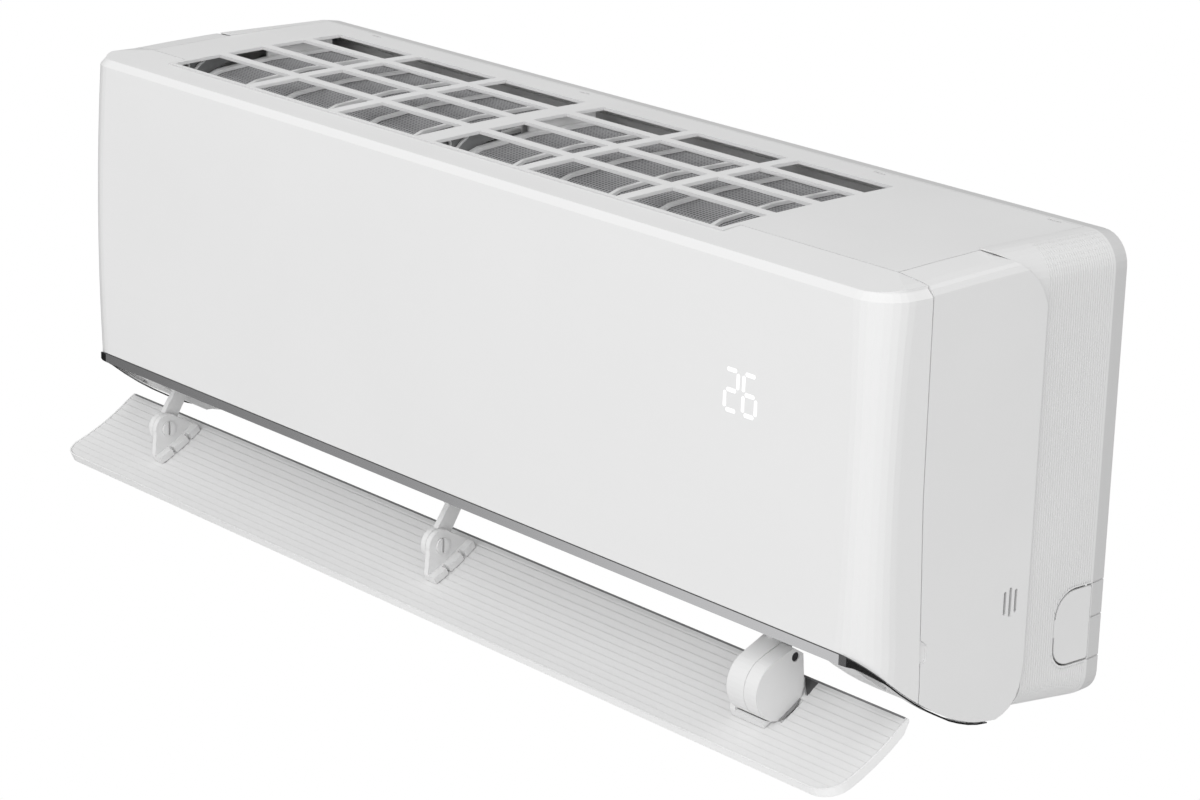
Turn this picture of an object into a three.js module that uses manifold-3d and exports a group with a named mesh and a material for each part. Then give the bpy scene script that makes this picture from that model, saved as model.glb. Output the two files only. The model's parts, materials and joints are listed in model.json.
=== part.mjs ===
// Wall-mounted indoor unit of a split air conditioner, in millimetres.
// X runs to the viewer's right, -Y out of the wall towards the room, +Z up. The origin is the middle of
// the mounting plate's wall face. Sections are drawn as (depth behind the front face, height above the
// lowest point).
import * as THREE from "three";
import { mergeVertices } from "three/addons/utils/BufferGeometryUtils.js";
import Module from "manifold-3d";

const wasm = await Module();
wasm.setup();

// ---- Driving dimensions -------------------------------------------------------------------------

const bodyWidth = 870;
const bodyHeight = 311;
const bodyDepth = 225;
const wall = 2.5;
const seat = 0.3;

// Front panel, a shallow tray that wraps the top and the sides.
const panelBottom = 67;
const panelTopDrop = 15;
const panelTop = bodyHeight - panelTopDrop;
const panelWall = 2.6;
const panelCorner = 23;
const cornerSpread = 4;
const panelBow = 1.5;
const panelSeam = 0.7;
const seamDepthTop = 41;
const seamDepthMiddle = 43.3;
const seamDepthBottom = 50;
const topFall = 5.3;
const panelChamfer = 4.5;
const gripRise = 37;
const gripLength = 15.5;
const gripDepth = 4.2;
const gripSink = 1.6;

// Side caps and the ribbed rear case.
const capWidth = 30;
const capRear = 147;
const rearInset = 2;
const rearTopCorner = 23;
const rearBottomCorner = 20;
const bevelDepth = 13;
const bevelWidth = 1.8;
const bevelGrooves = [22, 51.5, 75.5];
const grooveWidth = 1;
const grooveDepth = 0.8;
const backGap = 17;
const backWallDepth = bodyDepth - backGap;
const caseTopRear = backWallDepth + 2;
const rearFloor = -1.5;
const rearFall = 7.5;
const plateGap = 0.3;
const pipeSlotBottom = 12;
const pipeSlotTop = 72;
const channelInset = 60;

const halfWidth = bodyWidth / 2;
const capInner = halfWidth - capWidth;
const crownProfile = [
  [0, 9],
  [1.4, 5],
  [4.1, 3.1],
  [11, 1.9],
  [21, 0.9],
  [capWidth, 0],
];
const ventMargin = 23;
const ventDepth = capRear - ventMargin;
const ventPitch = 5.1;
const ventWidth = 2.4;
const ventCentre = 80;
const ventLengths = [16, 20, 16];
const knockoutWidth = 35;
const knockoutMargin = 0.6;
const knockoutRear = bodyDepth - bevelDepth - knockoutMargin;
const knockoutFront = knockoutRear - knockoutWidth;
const knockoutTop = 75.6;
const knockoutBottom = 22;
const knockoutTopRadius = 19;
const knockoutBottomRadius = 15;
const knockoutThickness = 1.6;
const knockoutSlot = 1.5;
const knockoutTab = [44.5, 57];
const knockoutHinge = 2;

// Trim round the outlet.
const trimHeight = 7.4;
const trimDepth = 3;
const trimFloor = 2.2;
const trimEnd = 118;
const trimTaper = 96;
const trimTip = 1.6;
const trimGap = 0.9;

// Air intake grille: two openings, each with three columns, and one crossbar between rows.
const grilleLeftMargin = 78;
const grilleRightMargin = 178;
const dividerShift = 1;
const grilleLeft = grilleLeftMargin - halfWidth;
const grilleRight = halfWidth - grilleRightMargin;
const dividerCentre = (grilleLeft + grilleRight) / 2 + dividerShift;
const dividerWidth = 20;
const columnsPerGrille = 3;
const grilleBar = 10;
const crossBar = 8;
const crossBarDepths = [74, 115, 154.5];
const grilleFront = 29;
const grilleRearMargin = 39;
const grilleRear = bodyDepth - grilleRearMargin;
const grilleFrame = 5;

const hookInsets = [21, 35, 33, 21.5];
const hookXs = [
  grilleLeft + hookInsets[0], dividerCentre - hookInsets[1],
  grilleRight - hookInsets[2], capInner - hookInsets[3],
];
const hookLength = 11;
const hookMargin = 5;
const hookDepth = caseTopRear - hookMargin;
const webRear = 140;
const beamFront = 3.6;
const beamRear = 8.4;
const beamBottom = 73;
const skirtBottom = 60.5;
const skirtThickness = 1.9;
const beamTop = 84;

// Fan, outlet duct and heat exchanger.
const fanDepth = 118;
const fanHeight = 135;
const fanRadius = 49;
const fanOverhang = 9;
const coilOverhang = 5;
const coilLeft = grilleLeft + 1;
const coilRight = grilleRight + coilOverhang;
const fanLeft = grilleLeft - fanOverhang;
const fanRight = coilRight;
const fanBlades = 22;
const fanDisc = 2.4;
const bladeThickness = 1.3;
const fanShaftRadius = 4;
const bulkheadGap = 4;
const motorGap = 6;
const bulkheadX = coilRight + bulkheadGap;
const motorFace = bulkheadX + motorGap;
const motorLength = 62;
const motorRadius = 41;
const clampWidth = 18;
const clampFootHeight = 28;
const vaneHoleRadius = 2.4;
const bearingRadius = 14;
const ledgeWidth = 27;
const ductHalfWidth = capInner - ledgeWidth;
const coilThickness = 22;
const tubeRadius = 2.6;
const tubeBend = 11;
const bendsPerSlab = 3;
const coilJoin = 14;
const sheetThickness = 1.2;
const sheetFoot = [38, 54, 112];
const panThickness = 1.6;
const liquidRadius = 3.2;
const gasRadius = 4.8;
const pipeBend = 14;
const pipeDrop = backWallDepth - 10;
const pipeDepth = bodyDepth - 8;
const gasReach = 44;
const liquidReach = 26;
const gasX = coilRight + gasReach;
const liquidX = coilRight + liquidReach;
const gasHeight = 46;
const liquidHeight = 24;
const pipeEnd = -120;
const nutRadius = 9;
const nutLength = 16;

// Arms that carry the deflector: cranks on one shaft behind the panel's lower edge.
const shaftDepth = 12.8;
const shaftHeight = 65.8;
const shaftRadius = 3.6;
const armMotorRadius = 7.2;
const pinRadius = 5;
const driveRadius = 2.5;
const pivotDepth = 10;
const pivotHeight = 21;
const armAngle = 58;
const armThickness = 5;
const armWidth = 11.5;
const armBossRadius = 11.5;
const kneeReach = 32;
const bearingWidth = 8;
const armInset = 35.8;
const armSpacing = ductHalfWidth - armInset;
const tiltHousingRadius = 21.2;
const tiltHousingLength = 28;
const tiltHousingSplit = 12;
const tiltScrewReach = 23.5;
const screwHead = 3;
const runningGap = 0.35;
const troughGap = 3.6;
const bearingOffsets = [22.2, -20, -42.2];
const bearingXs = [-armSpacing, 0, armSpacing].map((x, i) => x + bearingOffsets[i]);

// Deflector, drawn about its pivot at the angle of the extended pose.
const deflectorTilt = 27.3;
const deflectorChord = 77.4;
const deflectorRise = 14.1;
const deflectorFront = 49;
const deflectorRadius = 178;
const deflectorRim = 7;
const deflectorEdge = 3;
const deflectorTaper = 8;
const linerDepth = 1.5;
const rearEase = 0.9;
const rearEaseLength = 7;
const rimWidth = 1.2;
const ribStep = 0.5;
const deflectorCorner = 17;
const linerRibs = 13;
const earThickness = 4.6;
const earFoot = 41;
const earFootFront = 20.4;
const footHeight = 5.3;
const footWidth = 7;
const footNotch = 2.4;
const footNotchReach = 8;
const cradleHeight = 5.3;
const cradleInset = 3;
const pocketWidth = 15;
const pocketReach = 13;

// Steering vanes on the scroll's floor, turned in two sets by slotted link bars.
const vanePitch = 80;
const vaneStart = 60;
const vaneXs = {
  left: [3, 2, 1, 0].map((i) => -vaneStart - i * vanePitch),
  right: [0, 1, 2].map((i) => vaneStart + i * vanePitch),
};
const vaneBase = [126.5, 34.6];
const vaneLean = 136.4;
const vaneThickness = 1.8;
const vaneHeight = 42;
const vaneFront = 22;
const vaneBack = 7;
const vanePinRadius = 2;
const pegOffset = 13;
const pegRadius = 1.6;
const linkThickness = 2.4;
const linkWidth = 11;
const slotPlay = 0.5;

// Filters: a bent frame over a sheet of mesh, one under each opening.
const filterLine = [
  [grilleRear - 3, bodyHeight - 12.6],
  [120, bodyHeight - 13.6],
  [72, bodyHeight - 18.4],
  [50, bodyHeight - 26],
  [38, bodyHeight - 38],
  [31, bodyHeight - 55],
  [26.5, bodyHeight - 79],
  [24.5, 200],
  [24.5, 113],
];
const filterThickness = 2.4;
const meshThickness = 0.6;
const filterBorder = 6;
const filterRib = 3.4;
const filterOverlap = 6;
const filterGap = 10;
const filterXs = {
  left: [grilleLeft - filterOverlap, dividerCentre - filterGap / 2],
  right: [dividerCentre + filterGap / 2, grilleRight + filterOverlap],
};
const filterRibStep = 52;
const railThickness = 2;
const railLip = 4;

// Electrical side.
const boxGap = 42;
const boxSideGap = 3.1;
const boxLeft = coilRight + boxGap;
const boxRight = capInner - boxSideGap;
const coverThickness = 1.2;
const terminalCount = 4;
const terminalPitch = 14.5;
const blockInset = 20;
const blockBorder = 6;
const blockRise = 22;
const postInset = 8;
const postWidth = 4;
const boardStandOff = 6;
const boardThickness = 1.6;
const boxFront = 17;
const boxRear = 60;
const boxBottom = 125;
const boxTopDrop = 12;
const boxTop = panelTop - boxTopDrop;
const displayInset = 123;
const displayX = halfWidth - displayInset;
const displayHeight = 212;
const displayDepth = 6;
const lampDepth = 2.6;
const lampBorder = 3;
const displayWidth = 45;
const displayRise = 52;
const buttonInset = 85;
const buttonX = halfWidth - buttonInset;
const buttonHeight = 150;
const buttonRadius = 4;
const buttonReach = 6;
const flangeWidth = 1.5;

// Mounting plate.
const plateWidth = 640;
const plateThickness = 1.5;
const plateBottom = 55;
const plateHookXs = [-230, 230];
const catchThickness = 2;
const plateHookWidth = 40;
const plateHookHeight = 252;
const plateHookRise = 10;
const plateHookReach = 8.5;
const plateTop = plateHookHeight + 13;
const plateHeight = plateTop - plateBottom;
const plateMiddle = (plateTop + plateBottom) / 2;
const plateScrewXs = [-280, -100, 100, 280];
const plateScrewRadius = 2.6;
const plateScrewMargin = 20;
const plateWindow = 60;
const plateWindowX = 190;

// ---- Materials ----------------------------------------------------------------------------------

function material(color, roughness, metalness = 0) {
  return new THREE.MeshStandardMaterial({ color, roughness, metalness });
}

const glossWhite = material(0xe9e9e9, 0.3);
const casePlastic = material(0xdfdfdf, 0.5);
const ductPlastic = material(0xd8d8d8, 0.6);
const ribbedPlastic = material(0xdcdcdc, 0.55);
const chrome = material(0xb8b8b8, 0.12, 1);
const filterWhite = material(0xe4e4e4, 0.5);
const filterGrey = material(0x6d6f72, 0.9);
const fanGrey = material(0x3c3e42, 0.6);
const aluminium = material(0xaeb2b5, 0.4, 0.9);
const copper = material(0xb06a42, 0.35, 1);
const brass = material(0xc0a050, 0.35, 1);
const steel = material(0x9ea2a6, 0.35, 1);
const zincSteel = material(0x8f9499, 0.45, 1);
const boardGreen = material(0x2f6b46, 0.6);
const darkPlastic = material(0x2b2c2e, 0.6);
const rubber = material(0x1e1e1e, 0.85);

// ---- Geometry helpers ---------------------------------------------------------------------------

const radians = THREE.MathUtils.degToRad;
const group = new THREE.Group();

function solid(geometry) {
  const bare = geometry.clone();
  bare.deleteAttribute("normal");
  bare.deleteAttribute("uv");
  const merged = mergeVertices(bare, 1e-4);
  const vertProperties = new Float32Array(merged.attributes.position.array);
  const triVerts = new Uint32Array(merged.index.array);
  return new wasm.Manifold(new wasm.Mesh({ numProp: 3, vertProperties, triVerts }));
}

function geometryOf(shape) {
  const mesh = shape.getMesh();
  const geometry = new THREE.BufferGeometry();
  geometry.setAttribute("position", new THREE.BufferAttribute(mesh.vertProperties, 3));
  geometry.setIndex(new THREE.BufferAttribute(mesh.triVerts, 1));
  geometry.computeVertexNormals();
  return geometry;
}

function part(name, shape, look, parent = group) {
  const mesh = new THREE.Mesh(geometryOf(shape), look);
  mesh.name = name;
  parent.add(mesh);
  return mesh;
}

function yAt(depth) {
  return depth - bodyDepth;
}

function zAt(height) {
  return height - bodyHeight / 2;
}

// A front outline of (x, height) points, run back from one depth to another.
function beam(points, d0, d1) {
  const outline = points.map(([x, height]) => [x, zAt(height)]);
  return solid(extrude(outline, d1 - d0).rotateX(Math.PI / 2).translate(0, yAt(d1), 0));
}

// Places a geometry whose x, y and z were drawn as depth, height and X.
const sideways = new THREE.Matrix4().set(0, 0, 1, 0, 1, 0, 0, 0, 0, 1, 0, 0, 0, 0, 0, 1);

function shapeOf(points) {
  const outline = points.map(([a, b]) => new THREE.Vector2(a, b));
  if (THREE.ShapeUtils.area(outline) < 0) outline.reverse();
  return new THREE.Shape(outline);
}

function extrude(points, length) {
  return new THREE.ExtrudeGeometry(shapeOf(points), { depth: length, bevelEnabled: false, steps: 1 });
}

// A side section in its own (a, b) plane, run along X from x0 to x1. The plane is (y, z).
function prismLocal(points, x0, x1) {
  return solid(extrude(points, x1 - x0).applyMatrix4(sideways).translate(x0, 0, 0));
}

// The same for a section of depths and heights.
function prism(points, x0, x1) {
  return prismLocal(points.map(([depth, height]) => [yAt(depth), zAt(height)]), x0, x1);
}

// A plan outline of (x, depth) points, run up from one height to another.
function column(points, h0, h1) {
  const outline = points.map(([x, depth]) => [x, yAt(depth)]);
  return solid(extrude(outline, h1 - h0).translate(0, 0, zAt(h0)));
}

function box(x0, x1, d0, d1, h0, h1) {
  const geometry = new THREE.BoxGeometry(x1 - x0, d1 - d0, h1 - h0);
  geometry.translate((x0 + x1) / 2, yAt((d0 + d1) / 2), zAt((h0 + h1) / 2));
  return solid(geometry);
}

// Skins a solid over convex outlines of equal numbers of (x, y, z) points.
function loft(outlines) {
  const count = outlines[0].length;
  const last = (outlines.length - 1) * count;
  const triangles = [];
  for (let i = 0; i < count; i += 1) {
    const next = (i + 1) % count;
    for (let row = 0; row < last; row += count) {
      const above = row + count;
      triangles.push([row + i, row + next, above + next], [row + i, above + next, above + i]);
    }
    if (i > 0 && next > 0) triangles.push([0, next, i], [last, last + i, last + next]);
  }
  const points = outlines.flat().map((point) => new THREE.Vector3(...point));
  const volume = triangles.reduce((sum, [a, b, c]) => (
    sum + points[a].dot(points[b].clone().cross(points[c]))
  ), 0);
  const facing = volume < 0 ? triangles.map(([a, b, c]) => [a, c, b]) : triangles;
  const geometry = new THREE.BufferGeometry().setFromPoints(points);
  geometry.setIndex(facing.flat());
  return solid(geometry);
}

function rodLocal(radius, x0, x1, y, z, sides = 24) {
  const geometry = new THREE.CylinderGeometry(radius, radius, x1 - x0, sides);
  geometry.rotateZ(Math.PI / 2);
  return solid(geometry.translate((x0 + x1) / 2, y, z));
}

function rod(radius, x0, x1, depth, height, sides = 24) {
  return rodLocal(radius, x0, x1, yAt(depth), zAt(height), sides);
}

function rodAlongY(radius, x, d0, d1, height, sides = 24) {
  const geometry = new THREE.CylinderGeometry(radius, radius, d1 - d0, sides);
  return solid(geometry.translate(x, yAt((d0 + d1) / 2), zAt(height)));
}

function arc(cx, cy, radius, from, to, steps) {
  return Array.from({ length: steps + 1 }, (_, i) => {
    const angle = radians(from + ((to - from) * i) / steps);
    return [cx + radius * Math.cos(angle), cy + radius * Math.sin(angle)];
  });
}

// A wall of even thickness on the left-hand side of a line of points.
function ribbon(points, thickness) {
  const offset = points.map((p, i) => {
    const before = points[Math.max(i - 1, 0)];
    const after = points[Math.min(i + 1, points.length - 1)];
    const sides = [];
    if (i > 0) sides.push(leftNormal(before, p));
    if (i < points.length - 1) sides.push(leftNormal(p, after));
    const sum = sides.reduce((a, b) => [a[0] + b[0], a[1] + b[1]], [0, 0]);
    const size = Math.hypot(...sum);
    const unit = [sum[0] / size, sum[1] / size];
    const spread = unit[0] * sides[0][0] + unit[1] * sides[0][1];
    return [p[0] + (unit[0] * thickness) / spread, p[1] + (unit[1] * thickness) / spread];
  });
  return [...points, ...offset.reverse()];
}

function leftNormal(a, b) {
  const size = Math.hypot(b[0] - a[0], b[1] - a[1]);
  return [-(b[1] - a[1]) / size, (b[0] - a[0]) / size];
}

function along([a, b], reach, degrees) {
  return [a + reach * Math.cos(radians(degrees)), b + reach * Math.sin(radians(degrees))];
}

function unite(shapes) {
  return shapes.reduce((sum, shape) => sum.add(shape));
}

function mirrored(shape) {
  return shape.mirror([1, 0, 0]);
}

// Rounded rectangle outline between opposite corners.
function roundedRect(x0, x1, y0, y1, radius, steps = 5) {
  return [
    ...arc(x1 - radius, y1 - radius, radius, 0, 90, steps),
    ...arc(x0 + radius, y1 - radius, radius, 90, 180, steps),
    ...arc(x0 + radius, y0 + radius, radius, 180, 270, steps),
    ...arc(x1 - radius, y0 + radius, radius, 270, 360, steps),
  ];
}

// A path straight from point to point.
class Route extends THREE.Curve {
  constructor(points) {
    super();
    this.points = points;
  }

  getPoint(t, target = new THREE.Vector3()) {
    const at = t * (this.points.length - 1);
    const i = Math.min(Math.floor(at), this.points.length - 2);
    return target.lerpVectors(this.points[i], this.points[i + 1], at - i);
  }

  getPointAt(u, target) {
    return this.getPoint(u, target);
  }

  getTangentAt(u, target = new THREE.Vector3()) {
    const step = 0.5 / (this.points.length - 1);
    const before = this.getPoint(Math.max(u - step, 0));
    const after = this.getPoint(Math.min(u + step, 1));
    return target.copy(after).sub(before).normalize();
  }
}

function tube(points, radius, sides) {
  const section = arc(0, 0, radius, 0, 360 - 360 / sides, sides - 1);
  const route = { steps: points.length - 1, bevelEnabled: false, extrudePath: new Route(points) };
  return solid(new THREE.ExtrudeGeometry(shapeOf(section), route));
}

// A tube through (x, depth, height) corners with rounded bends.
function pipe(corners, radius, bend, sides = 12) {
  const points = corners.map(([x, depth, height]) => new THREE.Vector3(x, yAt(depth), zAt(height)));
  const run = [points[0]];
  for (let i = 1; i < points.length - 1; i += 1) {
    const before = points[i - 1].clone().sub(points[i]).normalize().multiplyScalar(bend).add(points[i]);
    const after = points[i + 1].clone().sub(points[i]).normalize().multiplyScalar(bend).add(points[i]);
    for (const t of [0, 0.25, 0.5, 0.75, 1]) {
      const first = before.clone().lerp(points[i], t);
      run.push(first.lerp(points[i].clone().lerp(after, t), t));
    }
  }
  run.push(points[points.length - 1]);
  return tube(run, radius, sides);
}

// ---- Shared outlines ----------------------------------------------------------------------------

const topFlat = bodyDepth - 14;

// Height of the top face, which falls gently towards the front.
function topHeight(depth) {
  return bodyHeight - topFall * ((topFlat - depth) / (topFlat - seamDepthTop)) ** 2;
}

// Underside of the body at its ends, from the panel's lower edge to the rear of the bulge.
const undersideStart = 20.5;
const undersideTop = 48;
const undersideSag = 1.8;
const undersideBulge = [
  [71, 14.4],
  [80, 9.6],
  [89, 5.9],
  [98, 2.9],
  [107, 0.9],
  [116, 0],
  [123, 0.8],
  [130, 2.9],
  [136, 6.4],
  [141, 11.6],
  [144.5, 19],
  [capRear, 34],
];
const undersideEnd = undersideBulge[0][0];

const capTopRear = [
  [113, bodyHeight - 1.6],
  [121, bodyHeight - 5.6],
  [129, bodyHeight - 11],
  [136, bodyHeight - 17],
  [142, bodyHeight - 24.5],
  [capRear, bodyHeight - 35],
];

// Height of the straight stretch under the outlet's ends, which sags a little.
function undersideHeight(depth) {
  const t = (depth - undersideStart) / (undersideEnd - undersideStart);
  return undersideTop + (undersideBulge[0][1] - undersideTop) * t - undersideSag * 4 * t * (1 - t);
}

function undersideLine(from, to, lift, steps = 4) {
  return Array.from({ length: steps + 1 }, (_, i) => {
    const depth = from + ((to - from) * i) / steps;
    return [depth, undersideHeight(depth) + lift];
  });
}

// Room left for the trim under the caps, which thins towards its rear ends.
function trimRoom(depth) {
  if (depth > trimEnd) return 0;
  const t = Math.max(depth - trimTaper, 0) / (trimEnd - trimTaper);
  return trimFloor + (trimTip - trimFloor) * t;
}

function topLine(from, to, drop, steps = 6) {
  return Array.from({ length: steps + 1 }, (_, i) => {
    const depth = from + ((to - from) * i) / steps;
    return [depth, topHeight(depth) - drop];
  });
}

// ---- Front panel --------------------------------------------------------------------------------

// The front outline of the body under a top of a given height, which falls away towards both sides.
function crown(top, inset) {
  const half = crownProfile.map(([step, fall]) => [halfWidth - step - inset, top - fall - inset]);
  return [
    [-halfWidth + inset, -40],
    [halfWidth - inset, -40],
    ...half,
    ...half.map(([x, height]) => [-x, height]).reverse(),
  ];
}

const panelEndTop = bodyHeight - topFall;

// The panel's plan, bowed and rounded less at mid height and drawn in over the chamfer at the top.
function panelPlan(inset) {
  const front = Array.from({ length: 9 }, (_, i) => {
    const t = 1 - (2 * i) / 8;
    return [panelBottom + ((panelTop - panelBottom) * i) / 8, panelBow * (t ** 2 - 1), cornerSpread * t ** 2];
  });
  const rows = [
    [-30, 0, cornerSpread],
    ...front,
    [panelTop + panelChamfer + 0.5, panelChamfer, cornerSpread],
    [bodyHeight + 20, panelChamfer, cornerSpread],
  ];
  return loft(rows.map(([height, draw, spread]) => {
    const shift = Math.max(draw, 0);
    const radius = panelCorner + spread - inset - shift;
    const side = halfWidth - inset - shift;
    const face = inset + draw;
    return [
      ...arc(-side + radius, face + radius, radius, 180, 270, 8),
      ...arc(side - radius, face + radius, radius, 270, 360, 8),
      [side, 140],
      [-side, 140],
    ].map(([x, depth]) => [x, yAt(depth), zAt(height - (height > panelTop ? inset : 0))]);
  }));
}

function panelBlock(inset) {
  const open = inset > 0;
  const rear = open ? 40 : 0;
  const ahead = -5;
  const slope = (panelEndTop - panelTop - panelChamfer - 0.5) / (seamDepthTop - panelChamfer);
  const underside = open
    ? [[ahead, -20], [seamDepthBottom + rear, -20]]
    : [[ahead, panelBottom], [0, panelBottom], ...undersideLine(undersideStart, seamDepthBottom, trimFloor)];
  const section = [
    ...underside,
    [seamDepthBottom + rear, panelBottom - 29],
    [seamDepthMiddle + rear, 166],
    [seamDepthTop + 1 + rear, panelTop],
    [seamDepthTop + rear, panelEndTop + slope * rear - inset],
    [ahead, panelTop + panelChamfer + 0.5 + slope * (ahead - panelChamfer) - inset],
  ];
  const body = prism(section, -halfWidth - 1, halfWidth + 1).intersect(panelPlan(inset));
  return body.intersect(beam(crown(panelEndTop, inset), -10, 150));
}

function panelShape() {
  const grilleNotch = box(
    grilleLeft - grilleFrame - panelSeam, grilleRight + grilleFrame + panelSeam,
    grilleFront - grilleFrame / 2 - panelSeam, seamDepthTop + 5, panelTop - 4, bodyHeight + 5,
  );
  return panelBlock(0).subtract(panelBlock(panelWall)).subtract(grilleNotch);
}

part("front_panel", panelShape(), glossWhite);

// ---- Side caps ----------------------------------------------------------------------------------

function capBlock(inset) {
  const face = panelSeam + inset;
  const bottom = undersideBulge.map(([depth, height]) => {
    const rise = Math.min(Math.max((depth - trimEnd) / (capRear - 5 - trimEnd), 0), 1);
    return [depth - rise * inset, height + trimRoom(depth) + inset];
  });
  const section = [
    [seamDepthTop + face, panelEndTop + 1],
    [seamDepthTop + 1 + face, panelTop],
    [seamDepthMiddle + face, 166],
    [seamDepthBottom + face, panelBottom - 29],
    ...undersideLine(seamDepthBottom + face, undersideEnd, trimFloor + inset, 3).slice(0, -1),
    ...bottom,
    ...capTopRear.map(([depth, height]) => [depth - inset, height - inset]).reverse(),
    ...topLine(seamDepthTop + face + 10, capTopRear[0][0] - 8, -1, 4).reverse(),
  ];
  const inner = inset > 0 ? capInner - 1 : capInner + seat;
  const hoop = loft([seamDepthTop - 1, 75, 110, capRear + 2].map((depth) => (
    crown(topHeight(depth), inset).map(([x, height]) => [x, yAt(depth), zAt(height)])
  )));
  return prism(section, inner, halfWidth + 1).intersect(hoop);
}

// A finger recess beside the panel's lower corner.
function gripRecess() {
  const seam = seamDepthBottom + panelSeam;
  const middle = undersideHeight(seamDepthBottom) + gripRise;
  const outline = [
    [seam - 4, middle + gripLength / 2],
    [seam - 1, middle + gripLength / 2],
    [seam + gripDepth, middle + gripLength / 2 - gripDepth],
    [seam + gripDepth, middle - gripLength / 2 + 1.5],
    [seam + gripDepth - 1.5, middle - gripLength / 2],
    [seam - 4, middle - gripLength / 2],
  ];
  return prism(outline, halfWidth - gripSink, halfWidth + 1);
}

function capShape() {
  const slots = ventLengths.map((length, i) => {
    const depth = ventDepth + i * ventPitch;
    const outline = roundedRect(
      depth, depth + ventWidth, ventCentre - length / 2, ventCentre + length / 2, ventWidth / 2 - 0.01, 3,
    );
    return prism(outline, halfWidth - 2 * wall, halfWidth + 1);
  });
  return capShell.subtract(gripRecess()).subtract(unite(slots));
}

const capShell = capBlock(0).subtract(capBlock(wall));
part("side_cap_right", capShape(), casePlastic);
part("side_cap_left", mirrored(capShell.subtract(gripRecess())), casePlastic);

// ---- Trim round the outlet ----------------------------------------------------------------------

function trimShape() {
  const rear = undersideBulge.filter(([depth]) => depth > undersideEnd && depth < trimEnd);
  const run = [...undersideLine(undersideStart, undersideEnd, 0), ...rear];
  const upper = [
    [0, panelBottom - seat],
    ...run.map(([depth, height]) => [depth, height + trimRoom(depth) - trimGap]),
  ];
  const trimBottom = panelBottom - seat - trimHeight;
  const lower = [[0, trimBottom], [trimDepth, trimBottom], ...run];
  const plan = (inset) => {
    const radius = panelCorner - inset;
    const side = halfWidth - inset - (inset > 0 ? trimDepth : 0.2);
    return [
      ...arc(-side + radius, inset + radius, radius, 180, 270, 6),
      ...arc(side - radius, inset + radius, radius, 270, 360, 6),
      [side, trimEnd + inset],
      [-side, trimEnd + inset],
    ];
  };
  const band = prism([...upper, ...lower.reverse()], -halfWidth, halfWidth);
  return band.intersect(column(plan(0), -20, 100)).subtract(column(plan(trimDepth), -20, 100));
}

part("chrome_trim", trimShape(), chrome);

// ---- Front case: top with the intake grilles, side webs, front beam -----------------------------

function cellsBetween(x0, x1, count) {
  const pitch = (x1 - x0 + grilleBar) / count;
  return Array.from({ length: count }, (_, i) => [x0 + i * pitch, x0 + (i + 1) * pitch - grilleBar]);
}

const grilleColumns = [
  ...cellsBetween(grilleLeft, dividerCentre - dividerWidth / 2, columnsPerGrille),
  ...cellsBetween(dividerCentre + dividerWidth / 2, grilleRight, columnsPerGrille),
];
const grilleRows = [grilleFront, ...crossBarDepths, grilleRear].slice(0, -1).map((depth, i) => {
  const last = i === crossBarDepths.length;
  return [
    depth + (i === 0 ? 0 : crossBar / 2),
    last ? grilleRear : crossBarDepths[i] - crossBar / 2,
  ];
});

// A hanging rail beside a filter's edge, with a lip under it.
function filterRail(edge, side) {
  const line = filterLine.slice(0, 2).reverse();
  const under = line.map(([depth, height]) => [depth, height - 2 * seat - meshThickness]);
  const foot = line.map(([depth, height]) => [depth, height - 2 * seat - meshThickness - railThickness]);
  const inner = edge + side * seat;
  const outer = inner + side * railThickness;
  const web = prism(
    [...topLine(line[0][0], line[1][0], wall / 2, 2), ...foot.reverse()],
    Math.min(inner, outer), Math.max(inner, outer),
  );
  const tip = edge - side * railLip;
  const lip = prism([...under, ...foot], Math.min(tip, outer), Math.max(tip, outer));
  return web.add(lip);
}

function frontCaseShape() {
  const topFront = seamDepthTop + panelSeam;
  const sheet = prism(
    [...topLine(topFront, caseTopRear, 0, 8), ...topLine(topFront, caseTopRear, wall, 8).reverse()],
    -capInner + seat, capInner - seat,
  );
  const tongueFront = grilleFront - grilleFrame / 2;
  const apron = prism(
    [...topLine(tongueFront, topFront + 1, 0, 3), ...topLine(tongueFront, topFront + 1, wall, 3).reverse()],
    grilleLeft - grilleFrame, grilleRight + grilleFrame,
  );
  const cells = grilleColumns.flatMap(([x0, x1]) => grilleRows.map(([d0, d1]) => (
    box(x0, x1, d0, d1, bodyHeight - 20, bodyHeight + 5)
  )));
  const web = prism(
    [
      [beamFront, beamBottom],
      [webRear, beamTop + 40],
      [webRear, topHeight(webRear) - wall / 2],
      [topFront + 1, topHeight(topFront + 1) - wall / 2],
      [topFront + 1, panelTop - 15],
      [beamFront, panelTop - 30],
    ],
    capInner - seat - wall, capInner - seat,
  );
  const skirt = trimDepth + seat;
  const crossbeam = prism(
    [
      [skirt, skirtBottom],
      [skirt + skirtThickness, skirtBottom],
      [skirt + skirtThickness, beamBottom],
      [beamRear, beamBottom],
      [beamRear, beamTop],
      [beamFront, beamTop],
      [beamFront, panelBottom + 1],
      [skirt, panelBottom + 1],
    ],
    -capInner + seat, capInner - seat,
  );
  const hooks = hookXs.map((x) => box(
    x - hookLength / 2, x + hookLength / 2, hookDepth, hookDepth + 2, bodyHeight - 6, bodyHeight + 5,
  ));
  const rails = Object.values(filterXs).flatMap(([x0, x1]) => [filterRail(x0, -1), filterRail(x1, 1)]);
  return unite([sheet.subtract(unite(hooks)), apron, web, mirrored(web), crossbeam])
    .subtract(unite(cells)).add(unite(rails));
}

part("front_case", frontCaseShape(), casePlastic);

// ---- Rear case: ribbed sides, back wall, scroll and outlet floor --------------------------------

const rearHalf = halfWidth - rearInset;
const rearFront = capRear + seat;

// The floor of the rear case falls towards the wall.
function rearFloorAt(depth) {
  return rearFloor - (rearFall * (depth - capRear)) / (bodyDepth - capRear);
}

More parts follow.
